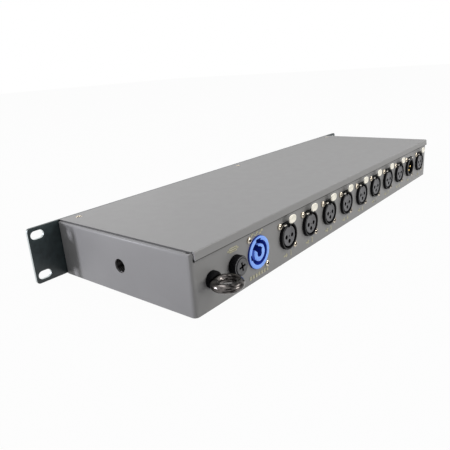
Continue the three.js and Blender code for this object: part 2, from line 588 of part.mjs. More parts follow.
// Threaded inserts welded inside the side walls, for a rigging clamp
for (const [name, side] of [['left', 1], ['right', -1]]) {
  const wall = HALF - SHEET;
  const [a, b] = [side * wall, side * (wall - INSERT_NUT_LONG)].sort((p, q) => p - q);
  const nut = rodX(INSERT_NUT_RADIUS, a, b, 0, 0, BARREL_SIDES).subtract(
    rodX(THREAD_BORE, a - 1, b + 1, 0, 0, BARREL_SIDES),
  );
  place(`clamp_insert_${name}`, nut, steel, 0, SIDE_HOLE_Y, ROW_Z);
}

// A part that stands on a level board, rooted a little way into it
const ROOT = 0.2;
const standing = ({ x, y, high }) => block(...x, ...y, BOARD_TOP - ROOT, BOARD_TOP + high);
function standingCan({ radius, high, x, y }, sides) {
  return rodZ(radius, BOARD_TOP - ROOT, BOARD_TOP + high, x, y, sides);
}
const levelBoard = ({ x, y }) => block(...x, ...y, BOARD_LOW, BOARD_TOP);

// Main board: carries all the sockets, with two chips and a capacitor for each output
function mainBoard() {
  const parts = [levelBoard(MAIN_BOARD), standing(CONTROLLER), standing(RIBBON_PLUG), standing(SUPPLY_PLUG)];
  for (let i = 0; i < OUTPUTS; i += 1) {
    const x = outputX(i);
    for (const y of CHIP.y) {
      parts.push(standing({ x: [x - CHIP.half, x + CHIP.half], y: [y, y + CHIP.deep], high: CHIP.high }));
    }
    parts.push(standingCan({ ...DRIVER_CAN, x: x + DRIVER_CAN.x }, 8));
  }
  return joined(parts);
}
place('main_board', mainBoard(), boardGreen);

// Supply board: transformer, capacitors, heat sink and two terminal blocks
function powerSupply() {
  const blocks = [TRANSFORMER, HEAT_SINK, MAINS_TERMINALS, LOW_VOLT_TERMINALS].map(standing);
  const cans = SUPPLY_CANS.map((can) => standingCan(can, 16));
  return joined([levelBoard(SUPPLY_BOARD), ...blocks, ...cans]);
}
place('power_supply', powerSupply(), boardGreen);

// Indicator board: upright strip behind the front panel with one lamp for each hole
function indicatorBoard() {
  const y = FRONT + LAMP_BOARD_Y;
  const parts = [block(...LAMP_BOARD.x, y, y + BOARD_THICK, ...LAMP_BOARD.z)];
  for (const x of lampX) {
    const tip = FRONT + LAMP_SUNK;
    const dome = [[0, tip], [1.3, tip + 0.35], [2.2, tip + 1.1], [LAMP_RADIUS, tip + 2.2]];
    parts.push(turned([...dome, [LAMP_RADIUS, y + 0.5], [0, y + 0.5]], 10).translate([x, 0, SLOT_Z]));
  }
  parts.push(block(...RIBBON_X, y + 1, y + 7, 19, 26));
  return joined(parts);
}
place('indicator_board', indicatorBoard(), boardGreen);

// Fixed leads inside the case, each one round tube along a smooth route
function lead(radius, points, steps) {
  const section = new THREE.Shape();
  section.absarc(0, 0, radius, 0, Math.PI * 2);
  const extrudePath = new THREE.CatmullRomCurve3(points.map((p) => new THREE.Vector3(...p)));
  return solid(new THREE.ExtrudeGeometry(section, { steps, extrudePath, curveSegments: 4 }));
}
const liveStart = [[154.5, 37.5, 26], [154.7, 33, 26.4], [160, 28, 27]];
const liveRoute = [...liveStart, [169, 26, 24], [174.2, 29, 21.3], [174.7, 32.6, 21]];
place('live_lead', lead(MAINS_LEAD, liveRoute, 12), leadBlack);
const neutralRoute = [[142.5, 37.5, 26], [142.6, 33, 26.4], [149, 27, 26], [157, 22.6, 23], [158, 22, 18.4]];
place('neutral_lead', lead(MAINS_LEAD, neutralRoute, 12), leadBlue);
const supplyRoute = [[138.5, 9, 12], [135, 9, 12.4], [131.5, 10.5, 13.5], [128, 12, 12.5], [124.5, 12.4, 12]];
place('supply_lead', lead(SUPPLY_LEAD, supplyRoute, 12), leadBlack);

// Flat ribbon from the main board's connector to the indicator board's
function ribbon() {
  const [y0, y1] = [FRONT + LAMP_BOARD_Y + 7.3, RIBBON_PLUG.y[0] - GAP];
  const outline = new THREE.Shape();
  outline.moveTo(y0, 22);
  outline.bezierCurveTo(y0 + 22, 22, y1 - 26, 11, y1, 11);
  outline.lineTo(y1, 12.2);
  outline.bezierCurveTo(y1 - 26, 12.2, y0 + 22, 23.2, y0, 23.2);
  return endOn(outline, ...RIBBON_X);
}
place('indicator_ribbon', ribbon(), ribbonGrey);

export default splitter;
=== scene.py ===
import math

import bmesh
import bpy
import numpy as np
from mathutils import Matrix, Vector


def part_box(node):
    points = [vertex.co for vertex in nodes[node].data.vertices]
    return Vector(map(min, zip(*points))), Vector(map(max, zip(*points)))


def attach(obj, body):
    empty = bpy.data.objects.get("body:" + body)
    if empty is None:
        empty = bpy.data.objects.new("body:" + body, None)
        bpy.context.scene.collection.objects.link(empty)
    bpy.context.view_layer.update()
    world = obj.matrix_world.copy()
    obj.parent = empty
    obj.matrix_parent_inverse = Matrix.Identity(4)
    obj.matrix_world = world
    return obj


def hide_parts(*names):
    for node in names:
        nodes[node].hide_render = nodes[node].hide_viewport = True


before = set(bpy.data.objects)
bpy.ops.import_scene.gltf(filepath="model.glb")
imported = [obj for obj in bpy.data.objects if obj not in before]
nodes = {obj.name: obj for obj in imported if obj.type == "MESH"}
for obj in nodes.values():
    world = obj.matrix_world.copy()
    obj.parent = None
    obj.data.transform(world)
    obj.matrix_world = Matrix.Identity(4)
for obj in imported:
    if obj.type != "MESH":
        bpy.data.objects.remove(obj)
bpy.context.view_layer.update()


# Case: folded tray of thin steel sheet, bent round at its rear corners and side tops, and sprayed
# with a half-gloss metallic grey powder. It carries every other piece.
MM = 0.001
SHEET_EDGE = 0.22 * MM
PAINT_GREY = (0.238, 0.236, 0.236)
PAINT_ROUGH = 0.42


def added(name, mesh):
    """New object with that mesh, linked into the scene."""
    piece = bpy.data.objects.new(name, mesh)
    bpy.context.scene.collection.objects.link(piece)
    return piece


def joined_copy(node, name):
    """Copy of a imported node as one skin: equal points are merged and flat neighbours joined."""
    mesh = nodes[node].data.copy()
    mesh.name = name
    mesh.materials.clear()
    skin = bmesh.new()
    skin.from_mesh(mesh)
    bmesh.ops.remove_doubles(skin, verts=skin.verts, dist=0.002 * MM)
    bmesh.ops.dissolve_limit(skin, angle_limit=math.radians(0.4), verts=skin.verts, edges=skin.edges)
    skin.to_mesh(mesh)
    skin.free()
    return added(name, mesh)


def smooth(piece, sharp=35):
    """Shades a piece smooth, but keeps edges sharper than that many degrees."""
    piece.data.shade_smooth()
    piece.data.set_sharp_from_angle(angle=math.radians(sharp))


def soften(piece, width, segments=2, limit=40):
    """Breaks a piece's sharp edges with a narrow bevel, as paint and tooling do."""
    smooth(piece, limit)
    bevel = piece.modifiers.new("broken_edges", "BEVEL")
    bevel.width = width
    bevel.segments = segments
    bevel.limit_method = "ANGLE"
    bevel.angle_limit = math.radians(limit)
    bevel.harden_normals = True


def dress(piece, finishes, node=None, body="case"):
    """Gives a piece its materials, hides the CAD node that it stands for, and hangs it on the body it rides
    on.
    """
    for made in finishes:
        piece.data.materials.append(made)
    if node:
        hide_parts(node)
    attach(piece, body)


def put(value, socket):
    """Links an output to a socket, or sets the socket to a value."""
    if isinstance(value, bpy.types.NodeSocket):
        socket.id_data.links.new(value, socket)
    else:
        socket.default_value = value


def feed(made, value, socket):
    """Puts a value or an output into the material's own shader."""
    put(value, made.node_tree.nodes["Principled BSDF"].inputs[socket])


def node_of(tree, kind, **inputs):
    """New node with those inputs, where an underscore in a name stands for a blank."""
    node = tree.nodes.new(f"ShaderNode{kind}")
    for name, value in inputs.items():
        put(value, node.inputs[name.replace("_", " ")])
    return node


def shade(color, share):
    """Colour times that share, and no brighter than white."""
    return tuple(min(1, c * share) for c in color)


def noise(tree, scale, detail=4.0, stretch=(1, 1, 1)):
    """Noise output at that many grains to the metre, in the object's own coordinates."""
    place = node_of(tree, "TexCoord").outputs["Object"]
    stretched = node_of(tree, "Mapping", Vector=place, Scale=stretch).outputs["Vector"]
    return node_of(tree, "TexNoise", Vector=stretched, Scale=scale, Detail=detail).outputs["Fac"]


def ramp(tree, value, low, high, start=0.35, end=0.65):
    """Colour that runs from low to high as the value runs from start to end."""
    run = node_of(tree, "ValToRGB", Fac=value)
    for stop, place, color in zip(run.color_ramp.elements, (start, end), (low, high)):
        stop.position = place
        stop.color = (*color, 1)
    return run.outputs["Color"]


def vary(made, color, spread, scale, detail=4.0, stretch=(1, 1, 1)):
    """Lets the base colour drift by that share of itself over a noise."""
    tree = made.node_tree
    drift = noise(tree, scale, detail, stretch)
    feed(made, ramp(tree, drift, shade(color, 1 - spread), shade(color, 1 + spread)), "Base Color")


def roughen(made, low, high, scale):
    """Lets the roughness drift between two values over a noise."""
    tree = made.node_tree
    feed(made, ramp(tree, noise(tree, scale, 3), (low,) * 3, (high,) * 3), "Roughness")


def grain(made, scale, depth, detail=3.0, stretch=(1, 1, 1), strength=1.0):
    """Bump of that depth in metres from a noise of that many grains to the metre."""
    height = noise(made.node_tree, scale, detail, stretch)
    bump = node_of(made.node_tree, "Bump", Height=height, Distance=depth, Strength=strength)
    feed(made, bump.outputs["Normal"], "Normal")


def finish_of(name, color, rough, metal=0.0, drift=None, grit=None, **sockets):
    """New material with constants on the shader's own sockets, where an underscore in a name stands
    for a blank. Drift is a share and a scale for vary, and grit a scale and a depth for grain."""
    made = bpy.data.materials.new(name)
    made.use_nodes = True
    sockets = {"Base Color": (*color, 1), "Roughness": rough, "Metallic": metal, **sockets}
    for socket, value in sockets.items():
        feed(made, value, socket.replace("_", " "))
    if drift:
        vary(made, color, *drift)
    if grit:
        grain(made, *grit)
    return made


def powder(name, **looks):
    """Sprayed powder: half gloss, with the faint swell of paint that has flowed out."""
    made = finish_of(name, PAINT_GREY, PAINT_ROUGH, **looks)
    roughen(made, 0.405, 0.435, 120)
    grain(made, 1900, 0.012 * MM, strength=0.35)
    return made


powder_grey = powder("powder_grey", drift=(0.025, 30))
case = joined_copy("chassis", "case")
soften(case, SHEET_EDGE)
dress(case, [powder_grey], "chassis")


# Clamp inserts: steel bushes welded behind a round hole in each side wall, cut with an M10 thread
# that shows as dark ridges from outside.
THREAD_PITCH = 1.5 * MM
THREAD_CORE = 4.3 * MM
THREAD_DEPTH = 0.75 * MM
STEEL = (0.30, 0.30, 0.30)
# Near-black steel for the bushes: painted shade, as inside the hole.
STEEL_IN_SHADE = (0.018, 0.017, 0.017)


def grid_piece(name, points, closed_rows=False):
    """Mesh from a grid of points (rows, columns, 3): one quad to a cell. A row's end meets its start,
    and where the rows are closed, the last row meets the first."""
    rows, columns = points.shape[:2]
    index = np.arange(rows * columns).reshape(rows, columns)
    if closed_rows:
        index = np.vstack([index, index[:1]])
    index = np.hstack([index, index[:, :1]])
    quads = np.stack([index[:-1, :-1], index[:-1, 1:], index[1:, 1:], index[1:, :-1]], axis=-1)
    mesh = bpy.data.meshes.new(name)
    mesh.from_pydata(points.reshape(-1, 3).tolist(), [], quads.reshape(-1, 4).tolist())
    skin = bmesh.new()
    skin.from_mesh(mesh)
    bmesh.ops.remove_doubles(skin, verts=skin.verts, dist=0.0005 * MM)
    bmesh.ops.recalc_face_normals(skin, faces=skin.faces)
    skin.to_mesh(mesh)
    skin.free()
    return added(name, mesh)


def round_angles(sides):
    """Angles of that many even steps round a circle."""
    return np.linspace(0, 2 * np.pi, sides, endpoint=False)


def threaded_bush(name, low, high):
    """Ring section swept round X; in the bore the radius rises and falls with the distance along X
    minus the pitch times the turn, so the ridge is a helix."""
    sides, steps_a_turn = 72, 6
    angle = round_angles(sides)
    outer = np.full((1, sides), (high.z - low.z) / 2)
    steps = int(round((high.x - low.x) / (THREAD_PITCH / steps_a_turn)))
    along = np.linspace(high.x, low.x, steps + 1)
    phase = along[:, None] / THREAD_PITCH + angle[None, :] / (2 * np.pi)
    ridge = np.abs((phase % 1) - 0.5) * 2
    radius = np.vstack([outer, outer, THREAD_CORE + THREAD_DEPTH * ridge])
    x = np.concatenate([[low.x, high.x], along])[:, None] * np.ones(sides)
    middle = (low + high) / 2
    y = middle.y + radius * np.cos(angle)
    z = middle.z + radius * np.sin(angle)
    return grid_piece(name, np.stack([x, y, z], axis=-1), closed_rows=True)


# The bush's steel is painted near black, as the shade inside the hole.
steel_in_painted_shade = finish_of("steel_in_painted_shade", STEEL_IN_SHADE, 0.3, 0.9, (0.4, 500), (1500, 0.02 * MM),
                        Specular_IOR_Level=0.2)
zinc_steel = finish_of("zinc_steel", STEEL, 0.38, 1.0, (0.18, 300), (1500, 0.015 * MM))
for side in ("left", "right"):
    bush = threaded_bush(f"clamp_bush_{side}", *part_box(f"clamp_insert_{side}"))
    smooth(bush, 50)
    dress(bush, [steel_in_painted_shade], f"clamp_insert_{side}")


# Front plate: 2 mm aluminium, black on both faces and along its top and bottom, with bare bright
# edges where it was cut to length after it was coated, at both ends and in the ear slots.
PLATE_BLACK = (0.022, 0.034, 0.037)
PLATE_EDGE = (0.50, 0.54, 0.54)
EDGE_COAT = 0.6 * MM


def axis_of(tree, coordinates, axis):
    """One axis of a piece's Object coordinates or of its Normal."""
    place = node_of(tree, "TexCoord").outputs[coordinates]
    return node_of(tree, "SeparateXYZ", Vector=place).outputs[axis]


def worked_out(tree, operation, *values):
    """Result of a Math node over outputs and numbers."""
    step = node_of(tree, "Math")
    step.operation = operation
    for value, socket in zip(values, step.inputs):
        put(value, socket)
    return step.outputs[0]


def plate_finish(low, high):
    """Black coat; cut faces, whose normal lies in the plate's own plane, are bare metal except along
    the plate's top and bottom edge."""
    made = finish_of("plate_black", PLATE_BLACK, 0.3)
    tree = made.node_tree
    middle, half = (low.z + high.z) / 2, (high.z - low.z) / 2
    between = worked_out(tree, "COMPARE", axis_of(tree, "Object", "Z"), middle, half - EDGE_COAT)
    facing = worked_out(tree, "ABSOLUTE", axis_of(tree, "Normal", "Y"))
    bare = worked_out(tree, "LESS_THAN", facing, worked_out(tree, "MULTIPLY", between, 0.5))
    mix = node_of(tree, "Mix")
    mix.data_type = "RGBA"
    coat = ramp(tree, noise(tree, 220), shade(PLATE_BLACK, 0.8), shade(PLATE_BLACK, 1.3))
    for value, socket in ((bare, "Factor"), (coat, "A"), ((*PLATE_EDGE, 1), "B")):
        put(value, mix.inputs[socket])
    feed(made, mix.outputs["Result"], "Base Color")
    feed(made, bare, "Metallic")
    grain(made, 3200, 0.012 * MM, strength=0.6)
    return made


plate = joined_copy("front_panel", "front_plate")
soften(plate, 0.15 * MM)
dress(plate, [plate_finish(*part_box("front_panel"))], "front_panel")


# Top cover: the same sheet and powder as the case, screwed down in front and hooked over the rear
# panel by a lip that springs a little away from it towards its lower edge.
REAR = 70 * MM
LIP_SPRING = 0.55 * MM
SIDE_LEAN = 0.45 * MM
CAD_BEND, LIP_BEND = 2 * MM, 1 * MM
# Painted shade in the cover's seams: share of the paint colour and gloss level there, and the heights above
# the low edge where it starts and where it is full.
SEAM_SHADE_SHARE, SEAM_SHADE_GLOSS = 0.35, 0.05
SEAM_SHADE_START, SEAM_SHADE_FULL = 0.60 * MM, 0.42 * MM


def points_of(mesh):
    """Mesh points as an array of rows (x, y, z)."""
    co = np.zeros(len(mesh.vertices) * 3)
    mesh.vertices.foreach_get("co", co)
    return co.reshape(-1, 3)


def move_points(mesh, co):
    """Puts an array of rows (x, y, z) back into a mesh."""
    mesh.vertices.foreach_set("co", co.ravel())
    mesh.update()


def tighten_bend(co, edge_y, edge_z, old, new):
    """Points on the quarter circle of radius old, tangent to y = edge_y and z = edge_z, go to the one
    of radius new at the same angle."""
    near = 0.02 * MM
    arm = co[:, 1:] - np.array([edge_y - old, edge_z - old])
    far = np.linalg.norm(arm, axis=1)
    on_bend = (np.abs(far - old) < near) & (arm.min(axis=1) > -near)
    moved = np.array([edge_y - new, edge_z - new]) + arm * (new / old)
    co[on_bend, 1:] = moved[on_bend]


def stepped(tree, value, start, end):
    """Runs from 0 to 1 as the value runs from start to end, and stays there."""
    return node_of(tree, "MapRange", Value=value, From_Min=start, From_Max=end).outputs["Result"]


def dim_edges(made, color, low_edge):
    """Painted shade in the cover's seams: faces turned down or forwards, and the last half millimetre
    above the low edge, are darker and dull, as the shadow under the side edges and the lip."""
    tree = made.node_tree
    least = worked_out(tree, "MINIMUM", axis_of(tree, "Normal", "Y"), axis_of(tree, "Normal", "Z"))
    shade_facing = stepped(tree, least, -0.2, -0.42)
    shade_above_low_edge = stepped(tree, axis_of(tree, "Object", "Z"), low_edge + SEAM_SHADE_START, low_edge + SEAM_SHADE_FULL)
    share = worked_out(tree, "MAXIMUM", shade_facing, shade_above_low_edge)
    feed(made, ramp(tree, share, color, shade(color, SEAM_SHADE_SHARE), 0, 1), "Base Color")
    feed(made, ramp(tree, share, (0.5,) * 3, (SEAM_SHADE_GLOSS,) * 3, 0, 1), "Specular IOR Level")


low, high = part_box("top_cover")
painted_seam_shade_powder = powder("painted_seam_shade_powder")
dim_edges(painted_seam_shade_powder, PAINT_GREY, low.z)
cover = joined_copy("top_cover", "cover")
co = points_of(cover.data)
tighten_bend(co, high.y, high.z, CAD_BEND, LIP_BEND)
drop = np.clip((high.z - LIP_BEND - co[:, 2]) / (high.z - LIP_BEND - low.z), 0, 1)
co[:, 1] += np.where(co[:, 1] > REAR - 0.1 * MM, LIP_SPRING * drop, 0)
# The side edges lean in at their foot, so that they turn down and take the painted seam shade.
on_side = (np.abs(co[:, 0]) > high.x - 0.05 * MM) & (co[:, 2] < high.z - 1 * MM)
co[:, 0] -= np.where(on_side, SIDE_LEAN * np.sign(co[:, 0]), 0)
move_points(cover.data, co)
soften(cover, 2 * SHEET_EDGE, 3)
dress(cover, [painted_seam_shade_powder], "top_cover")


# Countersunk screws: three in the cover, brassy nickel, and four of zinc-plated steel in the front
# plate. A cross is pressed into each flat head. Sizes: head radius and height, shank radius, length.
NICKEL = (0.58, 0.52, 0.43)
# Painted shade in the pits of the crosses.
PIT = (0.020, 0.014, 0.010)
LID_SCREW = (2.6 * MM, 1.2 * MM, 1.5 * MM, 5.4 * MM)
PLATE_SCREW = (2.7 * MM, 1.4 * MM, 1.5 * MM, 7.4 * MM)
CROSS_REACH, CROSS_SINK = 0.76, 0.42
FLAT_CROSS, PAN_CROSS = 0.62, 0.46
UPWARDS = ((1, 0, 0), (0, 1, 0), (0, 0, 1))
FORWARDS = ((1, 0, 0), (0, 0, 1), (0, -1, 0))
REARWARDS = ((-1, 0, 0), (0, 0, 1), (0, 1, 0))


def face_values(piece, name):
    """One vector for each face of a piece: its center or its normal."""
    values = np.zeros(len(piece.data.polygons) * 3)
    piece.data.polygons.foreach_get(name, values)
    return values.reshape(-1, 3)


def second_finish(piece, faces):
    """Gives the marked faces of a piece the second of its materials."""
    piece.data.polygons.foreach_set("material_index", faces.astype(np.int32))


def cross_recess(radius, angle, reach, width, depth):
    """Depth of a cross at a point of the head: full inside both arms, falling off over their walls.
    The arms taper to a point below, as a driver's tip does."""
    u, v = np.abs(radius * np.cos(angle)), np.abs(radius * np.sin(angle))
    across, along = np.minimum(u, v), np.maximum(u, v)
    wall = np.clip((width / 2 - across) / (0.25 * width) + 0.5, 0, 1)
    end = np.clip((reach - along) / (0.35 * reach), 0, 1)
    return depth * wall * end


def head_curve(share, height, flat):
    """Height of a head at that share of its radius: nothing for a flat one, and a quarter ellipse
    that stops a little before its end for a pan head."""
    return 0 * share if flat else height * np.sqrt(np.clip(1 - (0.88 * share) ** 2, 0, 1))


def screw(name, metal, sizes, flat, way, place, node=None):
    """Screw turned round an axis. Rows run from the middle of the head outwards and down the shank;
    under a flat head is a cone. way maps (across, up, along). The faces that lie well below the
    head's own curve are the pit of the cross, and take a painted shade."""
    head, height, shank, length = sizes
    angle = round_angles(40)[None, :]
    share = np.linspace(0, 1, 15)[:, None] ** 0.8
    radius = head * share
    width = FLAT_CROSS if flat else PAN_CROSS
    cross = cross_recess(radius, angle, CROSS_REACH * head, width * head, CROSS_SINK * head)
    top = head_curve(share, height, flat) - cross
    rows = [np.stack([radius * np.cos(angle), radius * np.sin(angle), top], axis=-1)]
    rim, neck = (-0.12 * MM, -height) if flat else (0.0, 0.0)
    for r, h in ((head, rim), (shank, neck), (shank, -length), (0, -length - 0.4 * shank)):
        rows.append(np.stack([r * np.cos(angle), r * np.sin(angle), np.full_like(angle, h)], axis=-1))
    points = np.concatenate(rows, axis=0) @ np.array(way, float) + np.array(place)
    piece = grid_piece(name, points)
    smooth(piece, 38)
    dress(piece, [metal, painted_pit_shade], node)
    across, up, along = ((face_values(piece, "center") - np.array(place)) @ np.array(way, float).T).T
    reach = np.hypot(across, up) / head
    low = head_curve(reach, height, flat) - 0.12 * head
    second_finish(piece, (reach < 0.8) & (along < low) & (along > -0.5 * head))


bright_nickel = finish_of("bright_nickel", NICKEL, 0.22, 1.0, (0.15, 900), (4000, 0.01 * MM))
# Painted shade for the pits of the screw crosses.
painted_pit_shade = finish_of("painted_pit_shade", PIT, 0.6, 0.3, (0.3, 900))
for side in ("left", "centre", "right"):
    low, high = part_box(f"cover_screw_{side}")
    middle = (low + high) / 2
    screw(f"lid_screw_{side}", bright_nickel, LID_SCREW, True, UPWARDS, (middle.x, middle.y, high.z),
          f"cover_screw_{side}")
for number in range(1, 5):
    low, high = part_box(f"panel_screw_{number}")
    middle = (low + high) / 2
    screw(f"plate_screw_{number}", zinc_steel, PLATE_SCREW, True, FORWARDS, (middle.x, low.y, middle.z),
          f"panel_screw_{number}")


# Socket shells: moulded black housings put in from inside, with a round barrel through the rear
# panel. Each is held by two small bright pan-head screws, high on one side and low on the other.
ROW = 21 * MM
SHELL_BLACK = (0.013, 0.013, 0.014)
# Deeper black: the real black of the fuse collar and the eye's collar, and painted shade in the sockets,
# inserts and fuse cap.
BLACK_AND_SHADE = (0.004, 0.004, 0.005)
WIRE_WHITE = (0.92, 0.88, 0.80)
HOUSING_BACK = 24 * MM
SHELL_HALF, SHELL_STEP = 13 * MM, 1.3 * MM
SHELL_OUT, SHELL_PROUD, SHELL_RIM = 10.6 * MM, 2.6 * MM, 0.3 * MM
FEMALE_BORE, MALE_BORE, BORE_DEPTH = 9.4 * MM, 8.1 * MM, 14 * MM
SHOULDER_UP, SHOULDER_HALF, SHOULDER_HIGH = 9.1 * MM, 7.5 * MM, 2.1 * MM
SHOULDER_BACK, SHOULDER_PROUD = 2.2 * MM, 1.8 * MM
SCREW_ACROSS, SCREW_UP = 10.3 * MM, 10 * MM
SOCKET_SCREW = (2.5 * MM, 1.8 * MM, 1.2 * MM, 3 * MM)
SHELL_POWER = [14] * 4 + [2] * 9
ARM_BACK = 15.5 * MM
WIRE_ACROSS, WIRE_UP = 5.2 * MM, 10 * MM


def turned(name, profile, x, z, sides=64, power=None):
    """Profile of (radius, distance out of the panel) carried round the Y axis through (x, z). A row
    with a power above 2 follows the curve |cos|^p + |sin|^p = 1, which nears a square."""
    angle = round_angles(sides)
    radius, out = np.array(profile, float).T
    p = np.full(len(radius), 2.0) if power is None else np.array(power, float)
    c, s = np.abs(np.cos(angle)), np.abs(np.sin(angle))
    reach = (c[None, :] ** p[:, None] + s[None, :] ** p[:, None]) ** (-1 / p[:, None])
    scale = radius[:, None] * reach
    y = REAR + out[:, None] * np.ones(sides)
    return grid_piece(name, np.stack([x + scale * np.cos(angle), y, z + scale * np.sin(angle)], axis=-1))


def rod(name, radius, y0, y1, x, z, sides):
    """Plain round bar along Y, for cutting."""
    return turned(name, [(0, y0), (radius, y0), (radius, y1), (0, y1)], x, z, sides)


def prism(name, x, corners, y0, y1):
    """Straight piece along Y over an outline of (x, z) corners round the axis through (x, ROW), between
    two distances out of the panel. The outline has no bays, so its ends close on its middle."""
    outline = np.array(corners, float)
    middle = outline.mean(axis=0)
    rings = []
    for y, share in ((y0, 0), (y0, 1), (y1, 1), (y1, 0)):
        flat = middle + (outline - middle) * share
        rings.append(np.column_stack([x + flat[:, 0], np.full(len(flat), REAR + y), ROW + flat[:, 1]]))
    return grid_piece(name, np.array(rings))


def oblong(x0, x1, z0, z1, turn=0):
    """Corners of a rectangle, turned by that many degrees from Z towards X."""
    c, s = math.cos(math.radians(turn)), math.sin(math.radians(turn))
    return [(x * c + z * s, z * c - x * s) for x, z in ((x0, z0), (x1, z0), (x1, z1), (x0, z1))]


def cut(piece, cutters):
    """Takes each cutter out of the piece, exactly, and deletes the cutters."""
    for cutter in cutters:
        step = piece.modifiers.new("cut", "BOOLEAN")
        step.operation = "DIFFERENCE"
        step.solver = "EXACT"
        step.object = cutter
    bpy.context.view_layer.update()
    result = bpy.data.meshes.new_from_object(piece.evaluated_get(bpy.context.evaluated_depsgraph_get()))
    piece.modifiers.clear()
    piece.data = result
    for cutter in cutters:
        bpy.data.objects.remove(cutter)


def housing_back(half):
    """Profile points of a housing's back and its chamfered corner."""
    chamfer = 0.4 * MM
    return [(0, -HOUSING_BACK), (half - chamfer, -HOUSING_BACK), (half, chamfer - HOUSING_BACK)]


def wall_rim(radius, face, rim):
    """Profile points that round the edge from an outer wall into the face."""
    return [(radius, face - rim), (radius - 0.3 * rim, face - 0.3 * rim), (radius - rim, face)]


def bore_rim(radius, face, rim):
    """Profile points that round the edge from the face into a bore."""
    return [(radius + rim, face), (radius + 0.3 * rim, face - 0.3 * rim), (radius, face - rim)]


def shell_profile(bore):
    """Back of the housing and its side, which are nearly square, then the barrel, its rounded rim, and
    the bore down to its floor."""
    return [
        *housing_back(SHELL_HALF), (SHELL_HALF, -SHELL_STEP), (SHELL_OUT, -SHELL_STEP),
        *wall_rim(SHELL_OUT, SHELL_PROUD, SHELL_RIM), *bore_rim(bore, SHELL_PROUD, SHELL_RIM),
        (bore, -BORE_DEPTH), (0, -BORE_DEPTH),
    ]


def bar(name, x, z, half_wide, half_high, y0, y1, power=6):
    """Bar along Y whose section is |u|^p + |v|^p = 1, with its two ends drawn in and closed."""
    angle = round_angles(40)
    c, s = np.cos(angle), np.sin(angle)
    reach = (np.abs(c) ** power + np.abs(s) ** power) ** (-1 / power)
    edge = min(half_high, half_wide) * 0.25
    drawn_in = 1 - edge / half_high
    rings = []
    for share, y in ((0, y0), (drawn_in, y0), (1, y0 + edge), (1, y1 - edge), (drawn_in, y1), (0, y1)):
        across, up = half_wide * share * reach * c, half_high * share * reach * s
        rings.append(np.stack([x + across, np.full_like(angle, y), z + up], axis=-1))
    return grid_piece(name, np.stack(rings))


# The deeper black as a material: the fuse collar's own black, and painted shade on socket sides, insert
# sides, holes and the cap's slot.
black_and_painted_shade = finish_of("black_and_painted_shade", BLACK_AND_SHADE, 0.7, drift=(0.3, 900), Specular_IOR_Level=0.1)
shell_black = finish_of("shell_black", SHELL_BLACK, 0.36, drift=(0.3, 400), grit=(5200, 0.014 * MM),
                        Specular_IOR_Level=0.2)
roughen(shell_black, 0.3, 0.45, 700)
spring_wire = finish_of("spring_wire", WIRE_WHITE, 0.25, 1.0, (0.08, 900), (3000, 0.01 * MM))
arm_way = oblong(-3 * MM, 3 * MM, 9 * MM, 14 * MM)
female = [f"output_{number}" for number in range(1, 9)] + ["thru"]
centre = {}
for name in female + ["input"]:
    low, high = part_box(f"{name}_socket")
    centre[name] = (low.x + high.x) / 2
for name, x in centre.items():
    bore = MALE_BORE if name == "input" else FEMALE_BORE
    shell = turned(f"{name}_shell", shell_profile(bore), x, ROW, 72, SHELL_POWER)
    shoulder = bar(f"{name}_shoulder", x, ROW + SHOULDER_UP, SHOULDER_HALF, SHOULDER_HIGH,
                   REAR - SHOULDER_BACK, REAR + SHOULDER_PROUD, 12)
    cut(shoulder, [rod("barrel", SHELL_OUT - 0.2 * MM, -4 * MM, 4 * MM, x, ROW, 72)])
    for piece in (shell, shoulder):
        if name != "input":
            cut(piece, [prism("arm_way", x, arm_way, -ARM_BACK, 5 * MM)])
        smooth(piece, 40)
        dress(piece, [shell_black, black_and_painted_shade], f"{name}_socket")
        # Faces that don't look out of the panel, the barrel's side, the bore's wall and the housing's sides,
        # take the deeper black as painted shade.
        second_finish(piece, np.abs(face_values(piece, "normal")[:, 1]) < 0.5)
    for place, side in (("right", -1), ("left", 1)):
        wire = bar(f"{name}_wire_{place}", x + side * WIRE_ACROSS, ROW + WIRE_UP, 1.8 * MM, 0.5 * MM,
                   REAR + 1.5 * MM, REAR + 2.5 * MM, 2.5)
        smooth(wire, 50)
        dress(wire, [spring_wire])
    for place, side in (("high", 1), ("low", -1)):
        screw(f"{name}_screw_{place}", bright_nickel, SOCKET_SCREW, False, REARWARDS,
              (x + side * SCREW_ACROSS, REAR, ROW + side * SCREW_UP))


# Contact inserts: grey moulded islands inside the female shells, with three round contact holes and
# a keyway at the top. A gilt sleeve lies just inside each hole.
INSERT_GREY = (0.108, 0.108, 0.116)
INSERT_OUT, INSERT_FACE, INSERT_RIM = 7.9 * MM, 2.1 * MM, 0.3 * MM
DISH, DISH_DEPTH = 7.2 * MM, 0.12 * MM
CONTACTS = ((4 * MM, 0), (-4 * MM, 0), (0, -4 * MM))
HOLE, HOLE_MOUTH, HOLE_DEPTH = 1.6 * MM, 1.75 * MM, 9 * MM
KEYWAY = oblong(-1.2 * MM, 1.2 * MM, 6.8 * MM, 9.5 * MM)
GOLD = (0.83, 0.62, 0.25)
ISLAND_PROFILE = [
    (0, -BORE_DEPTH), (INSERT_OUT, -BORE_DEPTH), (INSERT_OUT, INSERT_FACE - INSERT_RIM),
    (INSERT_OUT - INSERT_RIM, INSERT_FACE), (DISH, INSERT_FACE),
    (DISH - 0.2 * MM, INSERT_FACE - DISH_DEPTH), (0, INSERT_FACE - DISH_DEPTH),
]
SLEEVE_PROFILE = [
    (1.55 * MM, -8.9 * MM), (1.55 * MM, -2 * MM), (1.2 * MM, -2.4 * MM), (1.2 * MM, -8.9 * MM),
    (1.55 * MM, -8.9 * MM),
]
insert_grey = finish_of("insert_grey", INSERT_GREY, 0.5, 0.0, (0.12, 700), (4200, 0.012 * MM))
